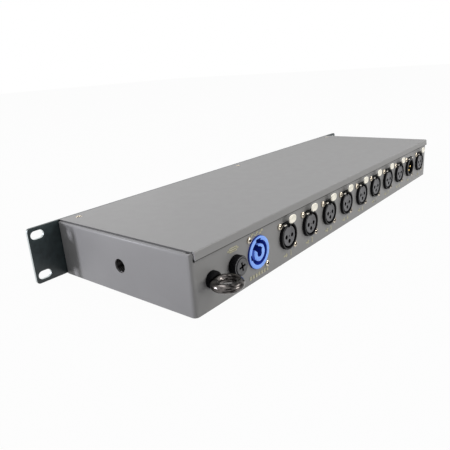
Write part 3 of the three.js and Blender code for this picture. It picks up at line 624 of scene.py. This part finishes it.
gilt = finish_of("gilt", GOLD, 0.22, 1.0, (0.12, 1200), (5000, 0.006 * MM))


def contact_hole(x, z):
    """Cutter for one hole: straight, with a small funnel at the mouth."""
    profile = [(0, -HOLE_DEPTH), (HOLE, -HOLE_DEPTH), (HOLE, INSERT_FACE - 0.3 * MM),
               (HOLE_MOUTH, INSERT_FACE + 0.02 * MM), (HOLE_MOUTH, INSERT_FACE + MM), (0, INSERT_FACE + MM)]
    return turned("hole", profile, x, z, 28)


def off_axis(points, x, z):
    """Distance of points from the axis along Y through (x, z)."""
    return np.hypot(points[:, 0] - x, points[:, 2] - z)


for name in female:
    x = centre[name]
    insert = turned(f"{name}_island", ISLAND_PROFILE, x, ROW)
    cutters = [contact_hole(x + u, ROW + v) for u, v in CONTACTS]
    cutters.append(rod("middle", 0.6 * MM, 0, 3 * MM, x, ROW, 20))
    cutters.append(prism("keyway", x, KEYWAY, -HOLE_DEPTH, 3 * MM))
    cut(insert, cutters)
    smooth(insert, 40)
    dress(insert, [insert_grey, black_and_painted_shade], f"{name}_insert")
    # The insert's side and the walls of its contact holes take the deeper black as painted shade.
    middles = face_values(insert, "center")
    sunk = middles[:, 1] < REAR + INSERT_FACE - 0.2 * MM
    in_hole = np.any([off_axis(middles, x + u, ROW + v) < HOLE + 0.1 * MM for u, v in CONTACTS], axis=0)
    on_side = off_axis(middles, x, ROW) > INSERT_OUT - 0.1 * MM
    second_finish(insert, on_side | (sunk & in_hole))
    for number, (u, v) in enumerate(CONTACTS, start=1):
        sleeve = turned(f"{name}_sleeve_{number}", SLEEVE_PROFILE, x + u, ROW + v, 24)
        smooth(sleeve, 40)
        dress(sleeve, [gilt])


# Push tabs: bright cast ovals with a raised rim, each on the foot of a black arm that runs back
# through the top of the barrel into the housing. Pressing one frees the plug.
TAB_METAL = (0.95, 0.91, 0.80)
TAB_UP, TAB_HALF_WIDE, TAB_HALF_HIGH = 14.2 * MM, 4.9 * MM, 3.2 * MM
TAB_ROWS = [
    (0, 5.3 * MM), (0.50, 5.32 * MM), (0.62, 5.40 * MM), (0.74, 5.62 * MM), (0.86, 5.7 * MM),
    (0.95, 5.6 * MM), (1, 5.3 * MM), (1, 4.9 * MM), (0.94, 4.62 * MM), (0, 4.6 * MM),
]
tab_bright = finish_of("tab_bright", TAB_METAL, 0.35, 0.1, (0.06, 500), (3000, 0.012 * MM))
# Name, height above the row, half width and height, inner and outer end, finish and slot
TAB_BARS = (
    ("arm", 10.55 * MM, 2.6 * MM, 0.65 * MM, -11.5 * MM, 4.8 * MM, shell_black, "black_plastic"),
    ("foot", 11.3 * MM, 1.6 * MM, 1.4 * MM, 3.9 * MM, 4.8 * MM, tab_bright, "tab_metal"),
    ("hook", 9.2 * MM, 1.9 * MM, 0.9 * MM, -7.3 * MM, -5.2 * MM, shell_black, "black_plastic"),
)


def oval_plate(name, x, z, half_wide, half_high, rows):
    """Rings of the outline |u|^p + |v|^p = 1 with p a little over 2, so the oval has full shoulders.
    Each row gives the share of the outline and the distance out."""
    angle = round_angles(56)
    power = 2.4
    c, s = np.cos(angle), np.sin(angle)
    full = (np.abs(c) ** power + np.abs(s) ** power) ** (-1 / power)
    share, out = np.array(rows, float).T
    across, up = half_wide * share[:, None] * full * c, half_high * share[:, None] * full * s
    y = REAR + out[:, None] * np.ones_like(angle)
    return grid_piece(name, np.stack([x + across, y, z + up], axis=-1))


for name in female:
    x = centre[name]
    face = oval_plate(f"{name}_tab", x, ROW + TAB_UP, TAB_HALF_WIDE, TAB_HALF_HIGH, TAB_ROWS)
    smooth(face, 55)
    dress(face, [tab_bright], f"{name}_latch", f"{name}_tab")
    for part, up, half_wide, half_high, inner, outer, made, slot in TAB_BARS:
        piece = bar(f"{name}_tab_{part}", x, ROW + up, half_wide, half_high, REAR + inner, REAR + outer)
        smooth(piece, 55)
        dress(piece, [made], f"{name}_latch", f"{name}_tab")


# Input socket's contacts: a black disc on the floor of the bore with three round gilt pins whose
# tips are rounded off and stand a little out of the panel.
DISC, DISC_FACE = 7.8 * MM, -12 * MM
PIN, PIN_TIP = 1.2 * MM, 1 * MM
DISC_PROFILE = [
    (0, -BORE_DEPTH), (DISC, -BORE_DEPTH), (DISC, DISC_FACE - 0.2 * MM), (DISC - 0.2 * MM, DISC_FACE),
    (0, DISC_FACE),
]
PIN_PROFILE = [
    (0, DISC_FACE - 0.5 * MM), (PIN, DISC_FACE - 0.5 * MM), (PIN, PIN_TIP - 0.8 * MM),
    (1.05 * MM, PIN_TIP - 0.35 * MM), (0.7 * MM, PIN_TIP - 0.08 * MM), (0, PIN_TIP),
]
x = centre["input"]
disc = turned("input_disc", DISC_PROFILE, x, ROW)
smooth(disc, 40)
dress(disc, [shell_black], "input_pins")
for number, (u, v) in enumerate(CONTACTS, start=1):
    pin = turned(f"input_pin_{number}", PIN_PROFILE, x + u, ROW + v, 28)
    smooth(pin, 50)
    dress(pin, [gilt])


# Mains inlet: blue moulded twist-lock body, put in from behind. A ring groove and a keyed core take
# the plug, and two bright pan-head screws hold its flange.
INLET_BLUE = (0.21, 0.43, 1.0)
# Painted glow: the inlet's blue plastic glows a little, though it is no lamp.
INLET_PAINTED_GLOW = (0.1, 0.16, 1)
# Painted shade: walls and depths of the inlet take this darker blue, with a faint painted glow.
SHADE_BLUE = (0.02, 0.042, 0.36)
SHADE_BLUE_PAINTED_GLOW = (0.04, 0.14, 1.0)
INLET_X = 148.5 * MM
INLET_OUT, INLET_FACE, INLET_RIM = 12 * MM, 1.4 * MM, 0.25 * MM
GROOVE_OUT, CORE_OUT, INLET_DEPTH = 9 * MM, 6.3 * MM, 13 * MM
LIT_DEPTH, CORE_CUT = 0.8 * MM, 10 * MM
CORE_GAP = [(1.5 * MM, 0), (7.3 * MM, 4.95 * MM), (2.9 * MM, 7.6 * MM), (0.2 * MM, 4.2 * MM)]
CORE_NOTCH = [(0.5 * MM, 4.7 * MM), (-3.4 * MM, 2.7 * MM), (-3.2 * MM, 2.1 * MM), (0, 1 * MM)]
FLANGE_BACK, FLANGE_FRONT, FLANGE_BORE = 3.2 * MM, 1.2 * MM, 11.8 * MM
BLADES = ((6 * MM, 5 * MM), (-6 * MM, 5 * MM), (0, -6 * MM))
INLET_SCREW = (2.2 * MM, 1.7 * MM, 1.5 * MM, 6.4 * MM)
# The inlet's blue with a painted glow, and the darker blue of its walls and depths as painted shade with a
# faint painted glow.
inlet_blue = finish_of("inlet_blue", INLET_BLUE, 0.36, 0.0, (0.08, 260), (3600, 0.01 * MM),
                       Coat_Weight=0.2, Coat_Roughness=0.2,
                       Emission_Color=(*INLET_PAINTED_GLOW, 1), Emission_Strength=0.14)
painted_shade_blue = finish_of("painted_shade_blue", SHADE_BLUE, 0.5, 0.0, (0.1, 260), (3600, 0.01 * MM),
                      Specular_IOR_Level=0.15, Emission_Color=(*SHADE_BLUE_PAINTED_GLOW, 1), Emission_Strength=0.02)


def stadium(half, low, high):
    """Outline of an upright slot with round ends."""
    angle = round_angles(48)
    lift = np.where(np.sin(angle) >= 0, high - half, low + half)
    return np.column_stack([half * np.cos(angle), lift + half * np.sin(angle)])


profile = [
    *housing_back(INLET_OUT), *wall_rim(INLET_OUT, INLET_FACE, INLET_RIM),
    *bore_rim(GROOVE_OUT, INLET_FACE, INLET_RIM), (GROOVE_OUT, -INLET_DEPTH),
    (CORE_OUT, -INLET_DEPTH), (CORE_OUT, -LIT_DEPTH), *wall_rim(CORE_OUT, INLET_FACE, INLET_RIM),
    (0, INLET_FACE),
]
inlet = turned("inlet_body", profile, INLET_X, ROW, 96)
cutters = []
for name, outline, depth in (
    ("slot", stadium(2.6 * MM, -3.2 * MM, 4.6 * MM), CORE_CUT),
    ("gap", CORE_GAP, CORE_CUT),
    ("notch", CORE_NOTCH, CORE_CUT),
    ("top_key", oblong(-1.9 * MM, 3.5 * MM, 7.3 * MM, 10.4 * MM), INLET_DEPTH),
    ("side_key", oblong(7.3 * MM, 10.3 * MM, -2 * MM, 2 * MM, 8), INLET_DEPTH),
):
    cutters.append(prism(name, INLET_X, outline, -depth, 3 * MM))
cut(inlet, cutters)
smooth(inlet, 40)
low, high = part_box("power_inlet")
outline = oblong(low.x - INLET_X, high.x - INLET_X, low.z - ROW, high.z - ROW)
flange = prism("inlet_flange", INLET_X, outline, -FLANGE_BACK, -FLANGE_FRONT)
cut(flange, [rod("flange_bore", FLANGE_BORE, -5 * MM, 0, INLET_X, ROW, 72)])
smooth(flange, 30)
for number, (u, v) in enumerate(BLADES, start=1):
    blade = bar(f"inlet_blade_{number}", INLET_X + u, ROW + v, 3 * MM, 0.5 * MM, low.y, REAR - 23.5 * MM)
    smooth(blade, 50)
    dress(blade, [zinc_steel])
dress(inlet, [inlet_blue, painted_shade_blue], "power_inlet")
dress(flange, [inlet_blue], "power_inlet")
# Faces inside the inlet that don't look out of the panel, except the core's wall down to the lit depth, and
# every face deeper than a millimetre take the darker blue as painted shade.
middles = face_values(inlet, "center")
reach = off_axis(middles, INLET_X, ROW)
shade_walls = (face_values(inlet, "normal")[:, 1] < 0.5) & (reach < INLET_OUT - 0.5 * MM)
shade_off_core = (middles[:, 1] < REAR - LIT_DEPTH) | (abs(reach - CORE_OUT) > 0.1 * MM)
second_finish(inlet, (shade_walls & shade_off_core) | (middles[:, 1] < REAR - 1 * MM))
for place, side in (("upper", 1), ("lower", -1)):
    screw(f"inlet_fixing_{place}", bright_nickel, INLET_SCREW, False, REARWARDS,
          (INLET_X + side * 10 * MM, REAR, ROW + side * 12 * MM), f"inlet_screw_{place}")


# Fuse holder: black moulded collar with fine grip ribs, a nut behind the panel, and a cap with a
# cross slot that turns and draws out with the glass fuse.
FUSE_X = 174.7 * MM
FUSE_OUT, FUSE_PROUD, FUSE_BACK = 7.3 * MM, 5.5 * MM, 30 * MM
FUSE_SEAT, FUSE_STEM, FUSE_BORE = 5.9 * MM, 6.2 * MM, 4.7 * MM
RIBS, RIB_DEPTH = 40, 0.28 * MM
CAP_OUT, CAP_FACE, CAP_STEM, CAP_BORE = 5.5 * MM, 6.1 * MM, 4.3 * MM, 2.95 * MM
SLOT_REACH, SLOT_HALF, SLOT_DEPTH, SLOT_TURN = 3.3 * MM, 0.75 * MM, 2.5 * MM, 11.5
TUBE_OUT, TUBE_BORE, TUBE_INNER, TUBE_OUTER = 2.35 * MM, 2.05 * MM, -14.2 * MM, -3.4 * MM
CAP_GREY = (0.085, 0.085, 0.090)
GLASS = (0.93, 0.96, 0.95)
cap_grey = finish_of("cap_grey", CAP_GREY, 0.5, 0.0, (0.2, 600), (4600, 0.014 * MM))
clear_glass = finish_of("clear_glass", GLASS, 0.04, Transmission_Weight=0.9, IOR=1.45)
roughen(clear_glass, 0.02, 0.08, 500)


def ribbed_collar(name):
    """Collar whose outer radius dips by a rib's depth as a power of a cosine, at each rib round it.
    A row gives the radius, the distance out, and whether it is ribbed."""
    angle = round_angles(8 * RIBS)
    dip = RIB_DEPTH * np.abs(np.cos(RIBS / 2 * angle)) ** 6
    rows = [
        (FUSE_STEM, -FUSE_BACK, 0), (FUSE_STEM, 0.1 * MM, 0), (FUSE_OUT - 0.2 * MM, 0.1 * MM, 1),
        (FUSE_OUT, 0.3 * MM, 1), (FUSE_OUT, FUSE_PROUD - 0.7 * MM, 1),
        (FUSE_OUT - 0.45 * MM, FUSE_PROUD - 0.1 * MM, 0), (FUSE_OUT - 0.7 * MM, FUSE_PROUD, 0),
        (FUSE_SEAT + 0.2 * MM, FUSE_PROUD, 0), (FUSE_SEAT, FUSE_PROUD - 0.2 * MM, 0),
        (FUSE_SEAT, 2 * MM, 0), (FUSE_BORE, 2 * MM, 0), (FUSE_BORE, -27 * MM, 0), (0, -27 * MM, 0),
        (0, -FUSE_BACK, 0),
    ]
    radius = np.array([r - dip * ribbed for r, _, ribbed in rows])
    out = np.array([y for _, y, _ in rows])[:, None] * np.ones_like(angle)
    points = np.stack([FUSE_X + radius * np.cos(angle), REAR + out, ROW + radius * np.sin(angle)], axis=-1)
    return grid_piece(name, points, closed_rows=True)


collar = ribbed_collar("fuse_collar")
smooth(collar, 45)
dress(collar, [black_and_painted_shade, cap_grey], "fuse_holder")
# The collar's faces that look out of the panel take the cap's grey: a painted highlight on the black
# collar's front ring.
proud = face_values(collar, "center")[:, 1] > REAR + 4 * MM
second_finish(collar, proud & (face_values(collar, "normal")[:, 1] > 0.6))
low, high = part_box("fuse_holder")
terminal = bar("fuse_terminal", FUSE_X, ROW, 2.4 * MM, 0.4 * MM, low.y, REAR - 29.5 * MM, 8)
smooth(terminal, 50)
dress(terminal, [zinc_steel])
profile = [
    (0, -4 * MM), (CAP_BORE, -4 * MM), (CAP_STEM, -4 * MM), (CAP_STEM, 2.3 * MM), (CAP_OUT, 2.3 * MM),
    (CAP_OUT, CAP_FACE - 0.25 * MM), (CAP_OUT - 0.25 * MM, CAP_FACE), (0, CAP_FACE),
]
cap = turned("fuse_knob", profile, FUSE_X, ROW, 72)
cutters = [rod("fuse_bore", CAP_BORE, -6 * MM, 1.5 * MM, FUSE_X, ROW, 32)]
for turn in (SLOT_TURN, SLOT_TURN + 90):
    arm = oblong(-SLOT_REACH, SLOT_REACH, -SLOT_HALF, SLOT_HALF, turn)
    cutters.append(prism("arm", FUSE_X, arm, CAP_FACE - SLOT_DEPTH, 7 * MM))
cut(cap, cutters)
smooth(cap, 40)
dress(cap, [cap_grey, black_and_painted_shade], "fuse_cap", "fuse_knob")
# The walls and floor of the cross slot and the bore under it take the deeper black as painted shade.
middles = face_values(cap, "center")
sunk = middles[:, 1] < REAR + CAP_FACE - 0.1 * MM
second_finish(cap, sunk & (off_axis(middles, FUSE_X, ROW) < SLOT_REACH + 0.2 * MM))
profile = [(TUBE_OUT, TUBE_INNER), (TUBE_OUT, TUBE_OUTER), (TUBE_BORE, TUBE_OUTER), (TUBE_BORE, TUBE_INNER),
           (TUBE_OUT, TUBE_INNER)]
tube = turned("fuse_tube", profile, FUSE_X, ROW, 40)
smooth(tube, 40)
dress(tube, [clear_glass], "fuse_link", "fuse_carrier")
for place, start in (("inner", -18.8 * MM), ("outer", -3.8 * MM)):
    profile = [(0, start), (2.4 * MM, start), (2.6 * MM, start + 0.2 * MM), (2.6 * MM, start + 4.8 * MM),
               (2.4 * MM, start + 5 * MM), (0, start + 5 * MM)]
    end = turned(f"fuse_end_{place}", profile, FUSE_X, ROW, 40)
    smooth(end, 50)
    dress(end, [bright_nickel], body="fuse_carrier")
fuse_nut = joined_copy("fuse_nut", "fuse_ring_nut")
soften(fuse_nut, 0.3 * MM)
dress(fuse_nut, [shell_black], "fuse_nut")


# Eye bolt: forged ring in polished black nickel that lies level behind the case. A black grained
# collar is at its foot and a nut holds its shank inside.
EYE = Vector((198.8 * MM, REAR, 20.4 * MM))
RING_RADIUS, RING_WIRE, RING_OUT = 7.85 * MM, 3.1 * MM, 12.6 * MM
SHANK_CORE, SHANK_RIDGE, SHANK_PITCH = 2.6 * MM, 0.4 * MM, 1 * MM
FOOT_PROFILE = [
    (3.3 * MM, 0), (5.6 * MM, 0), (5.9 * MM, 0.3 * MM), (5.9 * MM, 3.1 * MM), (5.6 * MM, 3.7 * MM),
    (5.1 * MM, 4 * MM), (3.3 * MM, 4 * MM), (3.3 * MM, 0),
]
BLACK_NICKEL = (0.085, 0.078, 0.075)
# Stretch of the noise along Z, for the painted reflection streaks and for the bump.
STREAKS = (1, 1, 2.6)
black_nickel = finish_of("black_nickel", BLACK_NICKEL, 0.16, 1.0)
# Painted reflection: the base colour drifts in streaks from near black to a mid grey, standing in for
# streaky reflections on the black nickel.
vary(black_nickel, BLACK_NICKEL, 0.92, 190, 2, STREAKS)
roughen(black_nickel, 0.10, 0.26, 300)
grain(black_nickel, 150, 0.2 * MM, 2, STREAKS, 0.6)
collar_black = finish_of("collar_black", BLACK_AND_SHADE, 0.6, 0.0, (0.5, 900), (1100, 0.35 * MM),
                         Specular_IOR_Level=0.06)


def ring_piece(name, spare=0.0):
    """Torus lying level: the wire's section is a circle whose radius swells a little towards the
    shank, as a forged eye's does, and is larger all round by what is to spare."""
    turn = round_angles(120)[:, None]
    round_wire = round_angles(40)[None, :]
    wire = RING_WIRE * (0.985 + 0.015 * np.cos(turn + np.pi / 2)) + spare
    across = RING_RADIUS + wire * np.cos(round_wire)
    x = EYE.x + across * np.cos(turn)
    y = EYE.y + RING_OUT + across * np.sin(turn)
    z = EYE.z + wire * np.sin(round_wire)
    return grid_piece(name, np.stack([x, y, z], axis=-1), closed_rows=True)


def threaded_shank(name, y0, y1):
    """Round bar along Y whose radius rises and falls with the distance minus the pitch times the turn."""
    angle = round_angles(48)[None, :]
    along = np.linspace(y0, y1, 90)[:, None]
    ridge = np.abs(((along / SHANK_PITCH - angle / (2 * np.pi)) % 1) - 0.5) * 2
    radius = SHANK_CORE + SHANK_RIDGE * ridge
    y = EYE.y + along * np.ones_like(angle)
    body = np.stack([EYE.x + radius * np.cos(angle), y, EYE.z + radius * np.sin(angle)], axis=-1)
    inner, outer = [np.tile(np.array([EYE.x, EYE.y + out, EYE.z]), (1, 48, 1)) for out in (y0, y1)]
    return grid_piece(name, np.concatenate([inner, body, outer], axis=0))


ring = ring_piece("eye_ring")
smooth(ring, 80)
shank = threaded_shank("eye_shank", -9 * MM, 2 * MM)
smooth(shank, 60)
for piece in (ring, shank):
    dress(piece, [black_nickel], "eye_bolt")
foot = turned("eye_foot", FOOT_PROFILE, EYE.x, EYE.z, 72)
cut(foot, [ring_piece("cutting_ring", 0.25 * MM)])
smooth(foot, 40)
dress(foot, [collar_black], "eye_collar")
eye_nut = joined_copy("eye_nut", "eye_hex_nut")
soften(eye_nut, 0.3 * MM)
dress(eye_nut, [zinc_steel], "eye_nut")


# Circuit boards and leads inside the case: green lacquered boards with black and grey parts, two
# insulated leads from the inlet, one to the main board, and a flat ribbon to the indicators.
BOARD_GREEN = (0.018, 0.105, 0.045)
PART_BLACK = (0.02, 0.02, 0.022)
SHEATH_COLORS = {
    "lead_black": (0.02, 0.02, 0.02), "lead_blue": (0.02, 0.09, 0.42), "ribbon_grey": (0.36, 0.36, 0.35),
}
LEADS = (("live_lead", "lead_black"), ("neutral_lead", "lead_blue"), ("supply_lead", "lead_black"),
         ("indicator_ribbon", "ribbon_grey"))


def board_finish(name, axis, low, high):
    """Green along an axis almost up to the second place, and nearly black beyond, in its parts."""
    made = finish_of(name, BOARD_GREEN, 0.35)
    tree = made.node_tree
    share = stepped(tree, axis_of(tree, "Object", axis), low, high)
    feed(made, ramp(tree, share, BOARD_GREEN, PART_BLACK, 0.98, 1.0), "Base Color")
    roughen(made, 0.28, 0.5, 400)
    grain(made, 900, 0.02 * MM)
    return made


board_flat = board_finish("board_flat", "Z", 6.5 * MM, 8.05 * MM)
for node, name in (("main_board", "signal_board"), ("power_supply", "supply_board")):
    board = joined_copy(node, name)
    soften(board, 0.2 * MM)
    dress(board, [board_flat], node)
sheaths = {
    slot: finish_of(slot, color, 0.45, 0.0, (0.15, 500), (2500, 0.02 * MM))
    for slot, color in SHEATH_COLORS.items()
}
for node, slot in LEADS:
    run = joined_copy(node, f"{node}_run")
    smooth(run, 50)
    dress(run, [sheaths[slot]], node)


# Indicators: upright board behind the front plate with round clear-tipped lamps that look through
# it, green for the eight outputs and amber for power and signal.
SOCKET_PITCH = 33.3 * MM
LAMPS = [(number - 3.5) * SOCKET_PITCH for number in range(8)] + [-150 * MM, -168 * MM]
LAMP_RADIUS, LAMP_ROW, LAMP_TIP, LAMP_BACK = 2.5 * MM, 22 * MM, 2.2 * MM, -62 * MM
LENS_GREEN = (0.10, 0.55, 0.16)
LENS_AMBER = (0.80, 0.32, 0.04)
board_upright = board_finish("board_upright", "Y", -62.1 * MM, -60.4 * MM)
strip = joined_copy("indicator_board", "indicator_strip")
skin = bmesh.new()
skin.from_mesh(strip.data)
bmesh.ops.bisect_plane(skin, geom=skin.verts[:] + skin.edges[:] + skin.faces[:], plane_no=(0, -1, 0),
                       plane_co=(0, LAMP_BACK - 0.02 * MM, 0), clear_outer=True)
bmesh.ops.holes_fill(skin, edges=[edge for edge in skin.edges if edge.is_boundary])
skin.to_mesh(strip.data)
skin.free()
smooth(strip, 30)
dress(strip, [board_upright], "indicator_board")
lens_green, lens_amber = [
    finish_of(name, color, 0.12, drift=(0.1, 800), Transmission_Weight=0.5, IOR=1.5)
    for name, color in (("lens_green", LENS_GREEN), ("lens_amber", LENS_AMBER))
]
low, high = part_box("indicator_board")
profile = [(LAMP_RADIUS * math.sin(a), low.y - REAR + LAMP_TIP * (1 - math.cos(a)))
           for a in np.linspace(0, np.pi / 2, 9)]
profile += [(LAMP_RADIUS, LAMP_BACK - REAR), (0, LAMP_BACK - REAR)]
for number, x in enumerate(LAMPS, start=1):
    lamp = turned(f"lamp_{number}", profile, x, LAMP_ROW, 40)
    smooth(lamp, 50)
    lamp.data.materials.append(lens_green if number <= 8 else lens_amber)
    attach(lamp, "case")


# Rear panel print: a number under each output and plain signs in place of words, screen-printed in
# pale beige.
PRINT_BEIGE = (0.44, 0.42, 0.30)
INK = 0.05 * MM
SIGN_Z, BOLD = 5.4 * MM, 1.5 * MM
DIGIT_SIZE = 4 * MM / 0.69
ARROW = [(-2.8, 0), (2.8, 0)]
MARK = [(0, -1.4), (0, 1.4)]
WAVE = [(t, math.sin(t * math.pi / 2.2)) for t in np.linspace(-2.2, 2.2, 25)]
FUSE_BODY = [(-3.8, -1.3), (3.8, -1.3), (3.8, 1.3), (-3.8, 1.3)]
FUSE_SIGN_X, FUSE_SIGN_Z, FUSE_SIGN_LINE = FUSE_X + 1.3 * MM, 32.4 * MM, 1.2 * MM
print_beige = finish_of("print_beige", PRINT_BEIGE, 0.5, 0.0, (0.15, 2500), (3000, 0.01 * MM))


def printed(name, curve, x, z):
    """Makes a text or a line a mesh no thicker than the ink, and turns it upright on the rear panel,
    centred on (x, z), as seen from behind."""
    flat = bpy.data.objects.new(name, curve)
    mesh = bpy.data.meshes.new_from_object(flat)
    bpy.data.objects.remove(flat)
    across, up, out = points_of(mesh).T
    across = x - (across - (across.min() + across.max()) / 2)
    up = z + up - (up.min() + up.max()) / 2
    move_points(mesh, np.column_stack([across, REAR + np.clip(out, -INK, INK) + INK, up]))
    mesh.materials.clear()
    mesh.materials.append(print_beige)
    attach(added(name, mesh), "case")


def digit(name, text, x, z):
    """One printed number."""
    curve = bpy.data.curves.new(name, "FONT")
    curve.body = text
    curve.size = DIGIT_SIZE
    curve.extrude = INK
    curve.offset = 0.2 * MM
    printed(name, curve, x, z)


def stroke(name, points, width, x, z, closed=False):
    """Line of even width along a few points, in millimetres round its middle."""
    path = np.array(points, float) * MM
    if closed:
        path = np.vstack([path, path[:1]])
    curve = bpy.data.curves.new(name, "CURVE")
    curve.dimensions = "3D"
    spline = curve.splines.new("POLY")
    spline.points.add(len(path) - 1)
    spline.points.foreach_set("co", np.column_stack([path, np.zeros(len(path)), np.ones(len(path))]).ravel())
    curve.bevel_depth = width / 2
    curve.bevel_resolution = 1
    printed(name, curve, x, z)


for number in range(1, 9):
    x = centre[f"output_{number}"]
    digit(f"print_{number}", str(number), x - 4.6 * MM, SIGN_Z)
    stroke(f"print_arrow_{number}", ARROW, BOLD, x + 3 * MM, SIGN_Z)
    stroke(f"print_tip_{number}", [(-1, -1.4), (1, 0), (-1, 1.4)], BOLD, x + 1.4 * MM, SIGN_Z)
for number, shift in enumerate((-5.6, 0, 5.6), start=1):
    stroke(f"print_wave_{number}", WAVE, 1.3 * MM, INLET_X + (1.2 + shift) * MM, 35.1 * MM)
for number in range(7):
    stroke(f"print_mark_{number + 1}", MARK, 2.5 * MM, INLET_X + (10.2 - 3.4 * number) * MM, 4.4 * MM)
stroke("print_fuse_body", FUSE_BODY, FUSE_SIGN_LINE, FUSE_SIGN_X, FUSE_SIGN_Z, closed=True)
stroke("print_fuse_wire", [(-6, 0), (6, 0)], FUSE_SIGN_LINE, FUSE_SIGN_X, FUSE_SIGN_Z)
for name, turn in (("input", 1), ("thru", -1)):
    x = centre[name]
    stroke(f"print_{name}_shaft", ARROW, BOLD, x, SIGN_Z)
    stroke(f"print_{name}_head", [(turn, -1.4), (-turn, 0), (turn, 1.4)], BOLD, x + turn * 1.8 * MM, SIGN_Z)


# Stage: white floor and surroundings that show as white, and the floor still takes the object's
# shadow. Four soft lamps light it, and dark cards show only in its gloss.
FLOOR_REACH, FLOOR_DROP = 6.0, 0.5 * MM
FLOOR_WHITE, FLOOR_BOUNCE = 0.97, 0.32
SOFT_LIGHT, SOFT_STRENGTH = (0.98, 0.98, 1, 1), 0.40
LIT_PLACE = Vector((0.1, 0.0, 0.02))


def seen_directly(tree, share):
    """That share for camera, glossy and transmission rays, and nothing for the rest."""
    path = node_of(tree, "LightPath")
    total = path.outputs["Is Camera Ray"]
    for ray in ("Is Glossy Ray", "Is Transmission Ray"):
        total = worked_out(tree, "MAXIMUM", total, path.outputs[ray])
    return worked_out(tree, "MULTIPLY", total, share)


def shown_over(tree, share, lighting, shown, output):
    """Sends one shader to the rays that light the object, and another to those that see it."""
    mix = node_of(tree, "MixShader", Fac=seen_directly(tree, share))
    put(lighting.outputs[0], mix.inputs[1])
    put(shown.outputs[0], mix.inputs[2])
    put(mix.outputs["Shader"], output.inputs["Surface"])


def stage_sheet(name, corners, made):
    """One flat face of the stage."""
    mesh = bpy.data.meshes.new(name)
    mesh.from_pydata(corners, [], [(0, 1, 2, 3)])
    mesh.materials.append(made)
    piece = added(name, mesh)
    return piece


floor_white = bpy.data.materials.new("floor_white")
floor_white.use_nodes = True
tree = floor_white.node_tree
tree.nodes.clear()
diffuse = node_of(tree, "BsdfDiffuse", Color=(FLOOR_BOUNCE, FLOOR_BOUNCE, FLOOR_BOUNCE, 1))
shown_over(tree, FLOOR_WHITE, diffuse, node_of(tree, "Emission"), node_of(tree, "OutputMaterial"))
corners = [(u * FLOOR_REACH, v * FLOOR_REACH, -FLOOR_DROP) for u, v in ((-1, -1), (1, -1), (1, 1), (-1, 1))]
stage_sheet("floor", corners, floor_white)

world = bpy.data.worlds.new("studio")
bpy.context.scene.world = world
world.use_nodes = True
tree = world.node_tree
soft = node_of(tree, "Background", Color=SOFT_LIGHT, Strength=SOFT_STRENGTH)
white = node_of(tree, "Background", Color=(1, 1, 1, 1), Strength=1.0)
shown_over(tree, 1.0, soft, white, tree.nodes["World Output"])

for name, place, wide, high, power, tint in (
    ("lamp_above", (0.0, -0.4, 1.5), 1.2, 1.2, 12.5, (1, 1, 1)),
    ("lamp_left", (1.52, -1.09, 0.30), 0.18, 0.5, 24.5, (0.92, 0.92, 1)),
    ("lamp_right", (-1.0, 1.4, 1.2), 0.9, 0.9, 14, (1, 0.99, 0.95)),
    ("lamp_rear", (-0.30, 1.80, 0.13), 0.5, 0.5, 10.5, (1, 0.99, 0.95)),
):
    light = bpy.data.lights.new(name, "AREA")
    light.shape = "RECTANGLE"
    light.size, light.size_y = wide, high
    light.energy = power
    light.color = tint
    lamp = added(name, light)
    lamp.location = place
    lamp.rotation_euler = (LIT_PLACE - Vector(place)).to_track_quat("-Z", "Y").to_euler()

card_black = finish_of("card_black", (0.02, 0.02, 0.02), 0.9)
for name, place, wide, low, high in (
    ("card_corner", (0.88, 0.76), 0.75, -0.1, 0.75),
    ("card_far_end", (-1.50, -0.75), 1.6, -0.1, 0.36),
    ("card_left", (1.68, -1.20), 1.2, -0.1, 0.8),
):
    middle = Vector((*place, 0))
    away = middle.normalized()
    along = Vector((-away.y, away.x, 0)) * wide / 2
    ends = (middle - along, middle + along)
    corners = [(end.x, end.y, low) for end in ends] + [(end.x, end.y, high) for end in reversed(ends)]
    card = stage_sheet(name, corners, card_black)
    card.visible_camera = card.visible_diffuse = card.visible_transmission = card.visible_shadow = False


# Camera: behind the mains end and a little above, close to the near corner, rolled by a few degrees.
# Angles are in radians and lengths in metres; the lens and the shift are in pixels of the picture.
AIM = Vector((0.11221, 0.01794, 0.022))
TURN, RISE, ROLL = 0.88056, 0.32106, -0.06826
DISTANCE = 0.39424
FOCAL_PIXELS, FRAME_PIXELS, MIDDLE_PIXEL = 477.37, 450, 232
back = Vector((math.sin(TURN) * math.cos(RISE), math.cos(TURN) * math.cos(RISE), math.sin(RISE)))
right = (-back).cross(Vector((0, 0, 1))).normalized()
upward = right.cross(-back)
c, s = math.cos(ROLL), math.sin(ROLL)
axes = Matrix((c * right + s * upward, c * upward - s * right, back)).transposed()
view = bpy.data.cameras.new("view")
view.sensor_width = 36
view.lens = FOCAL_PIXELS / FRAME_PIXELS * view.sensor_width
view.shift_x = (FRAME_PIXELS / 2 - MIDDLE_PIXEL) / FRAME_PIXELS
view.clip_start = 0.01
eye = added("view", view)
eye.matrix_world = Matrix.Translation(AIM + DISTANCE * back) @ axes.to_4x4()
bpy.context.scene.camera = eye
bpy.context.scene.view_settings.view_transform = "Standard"
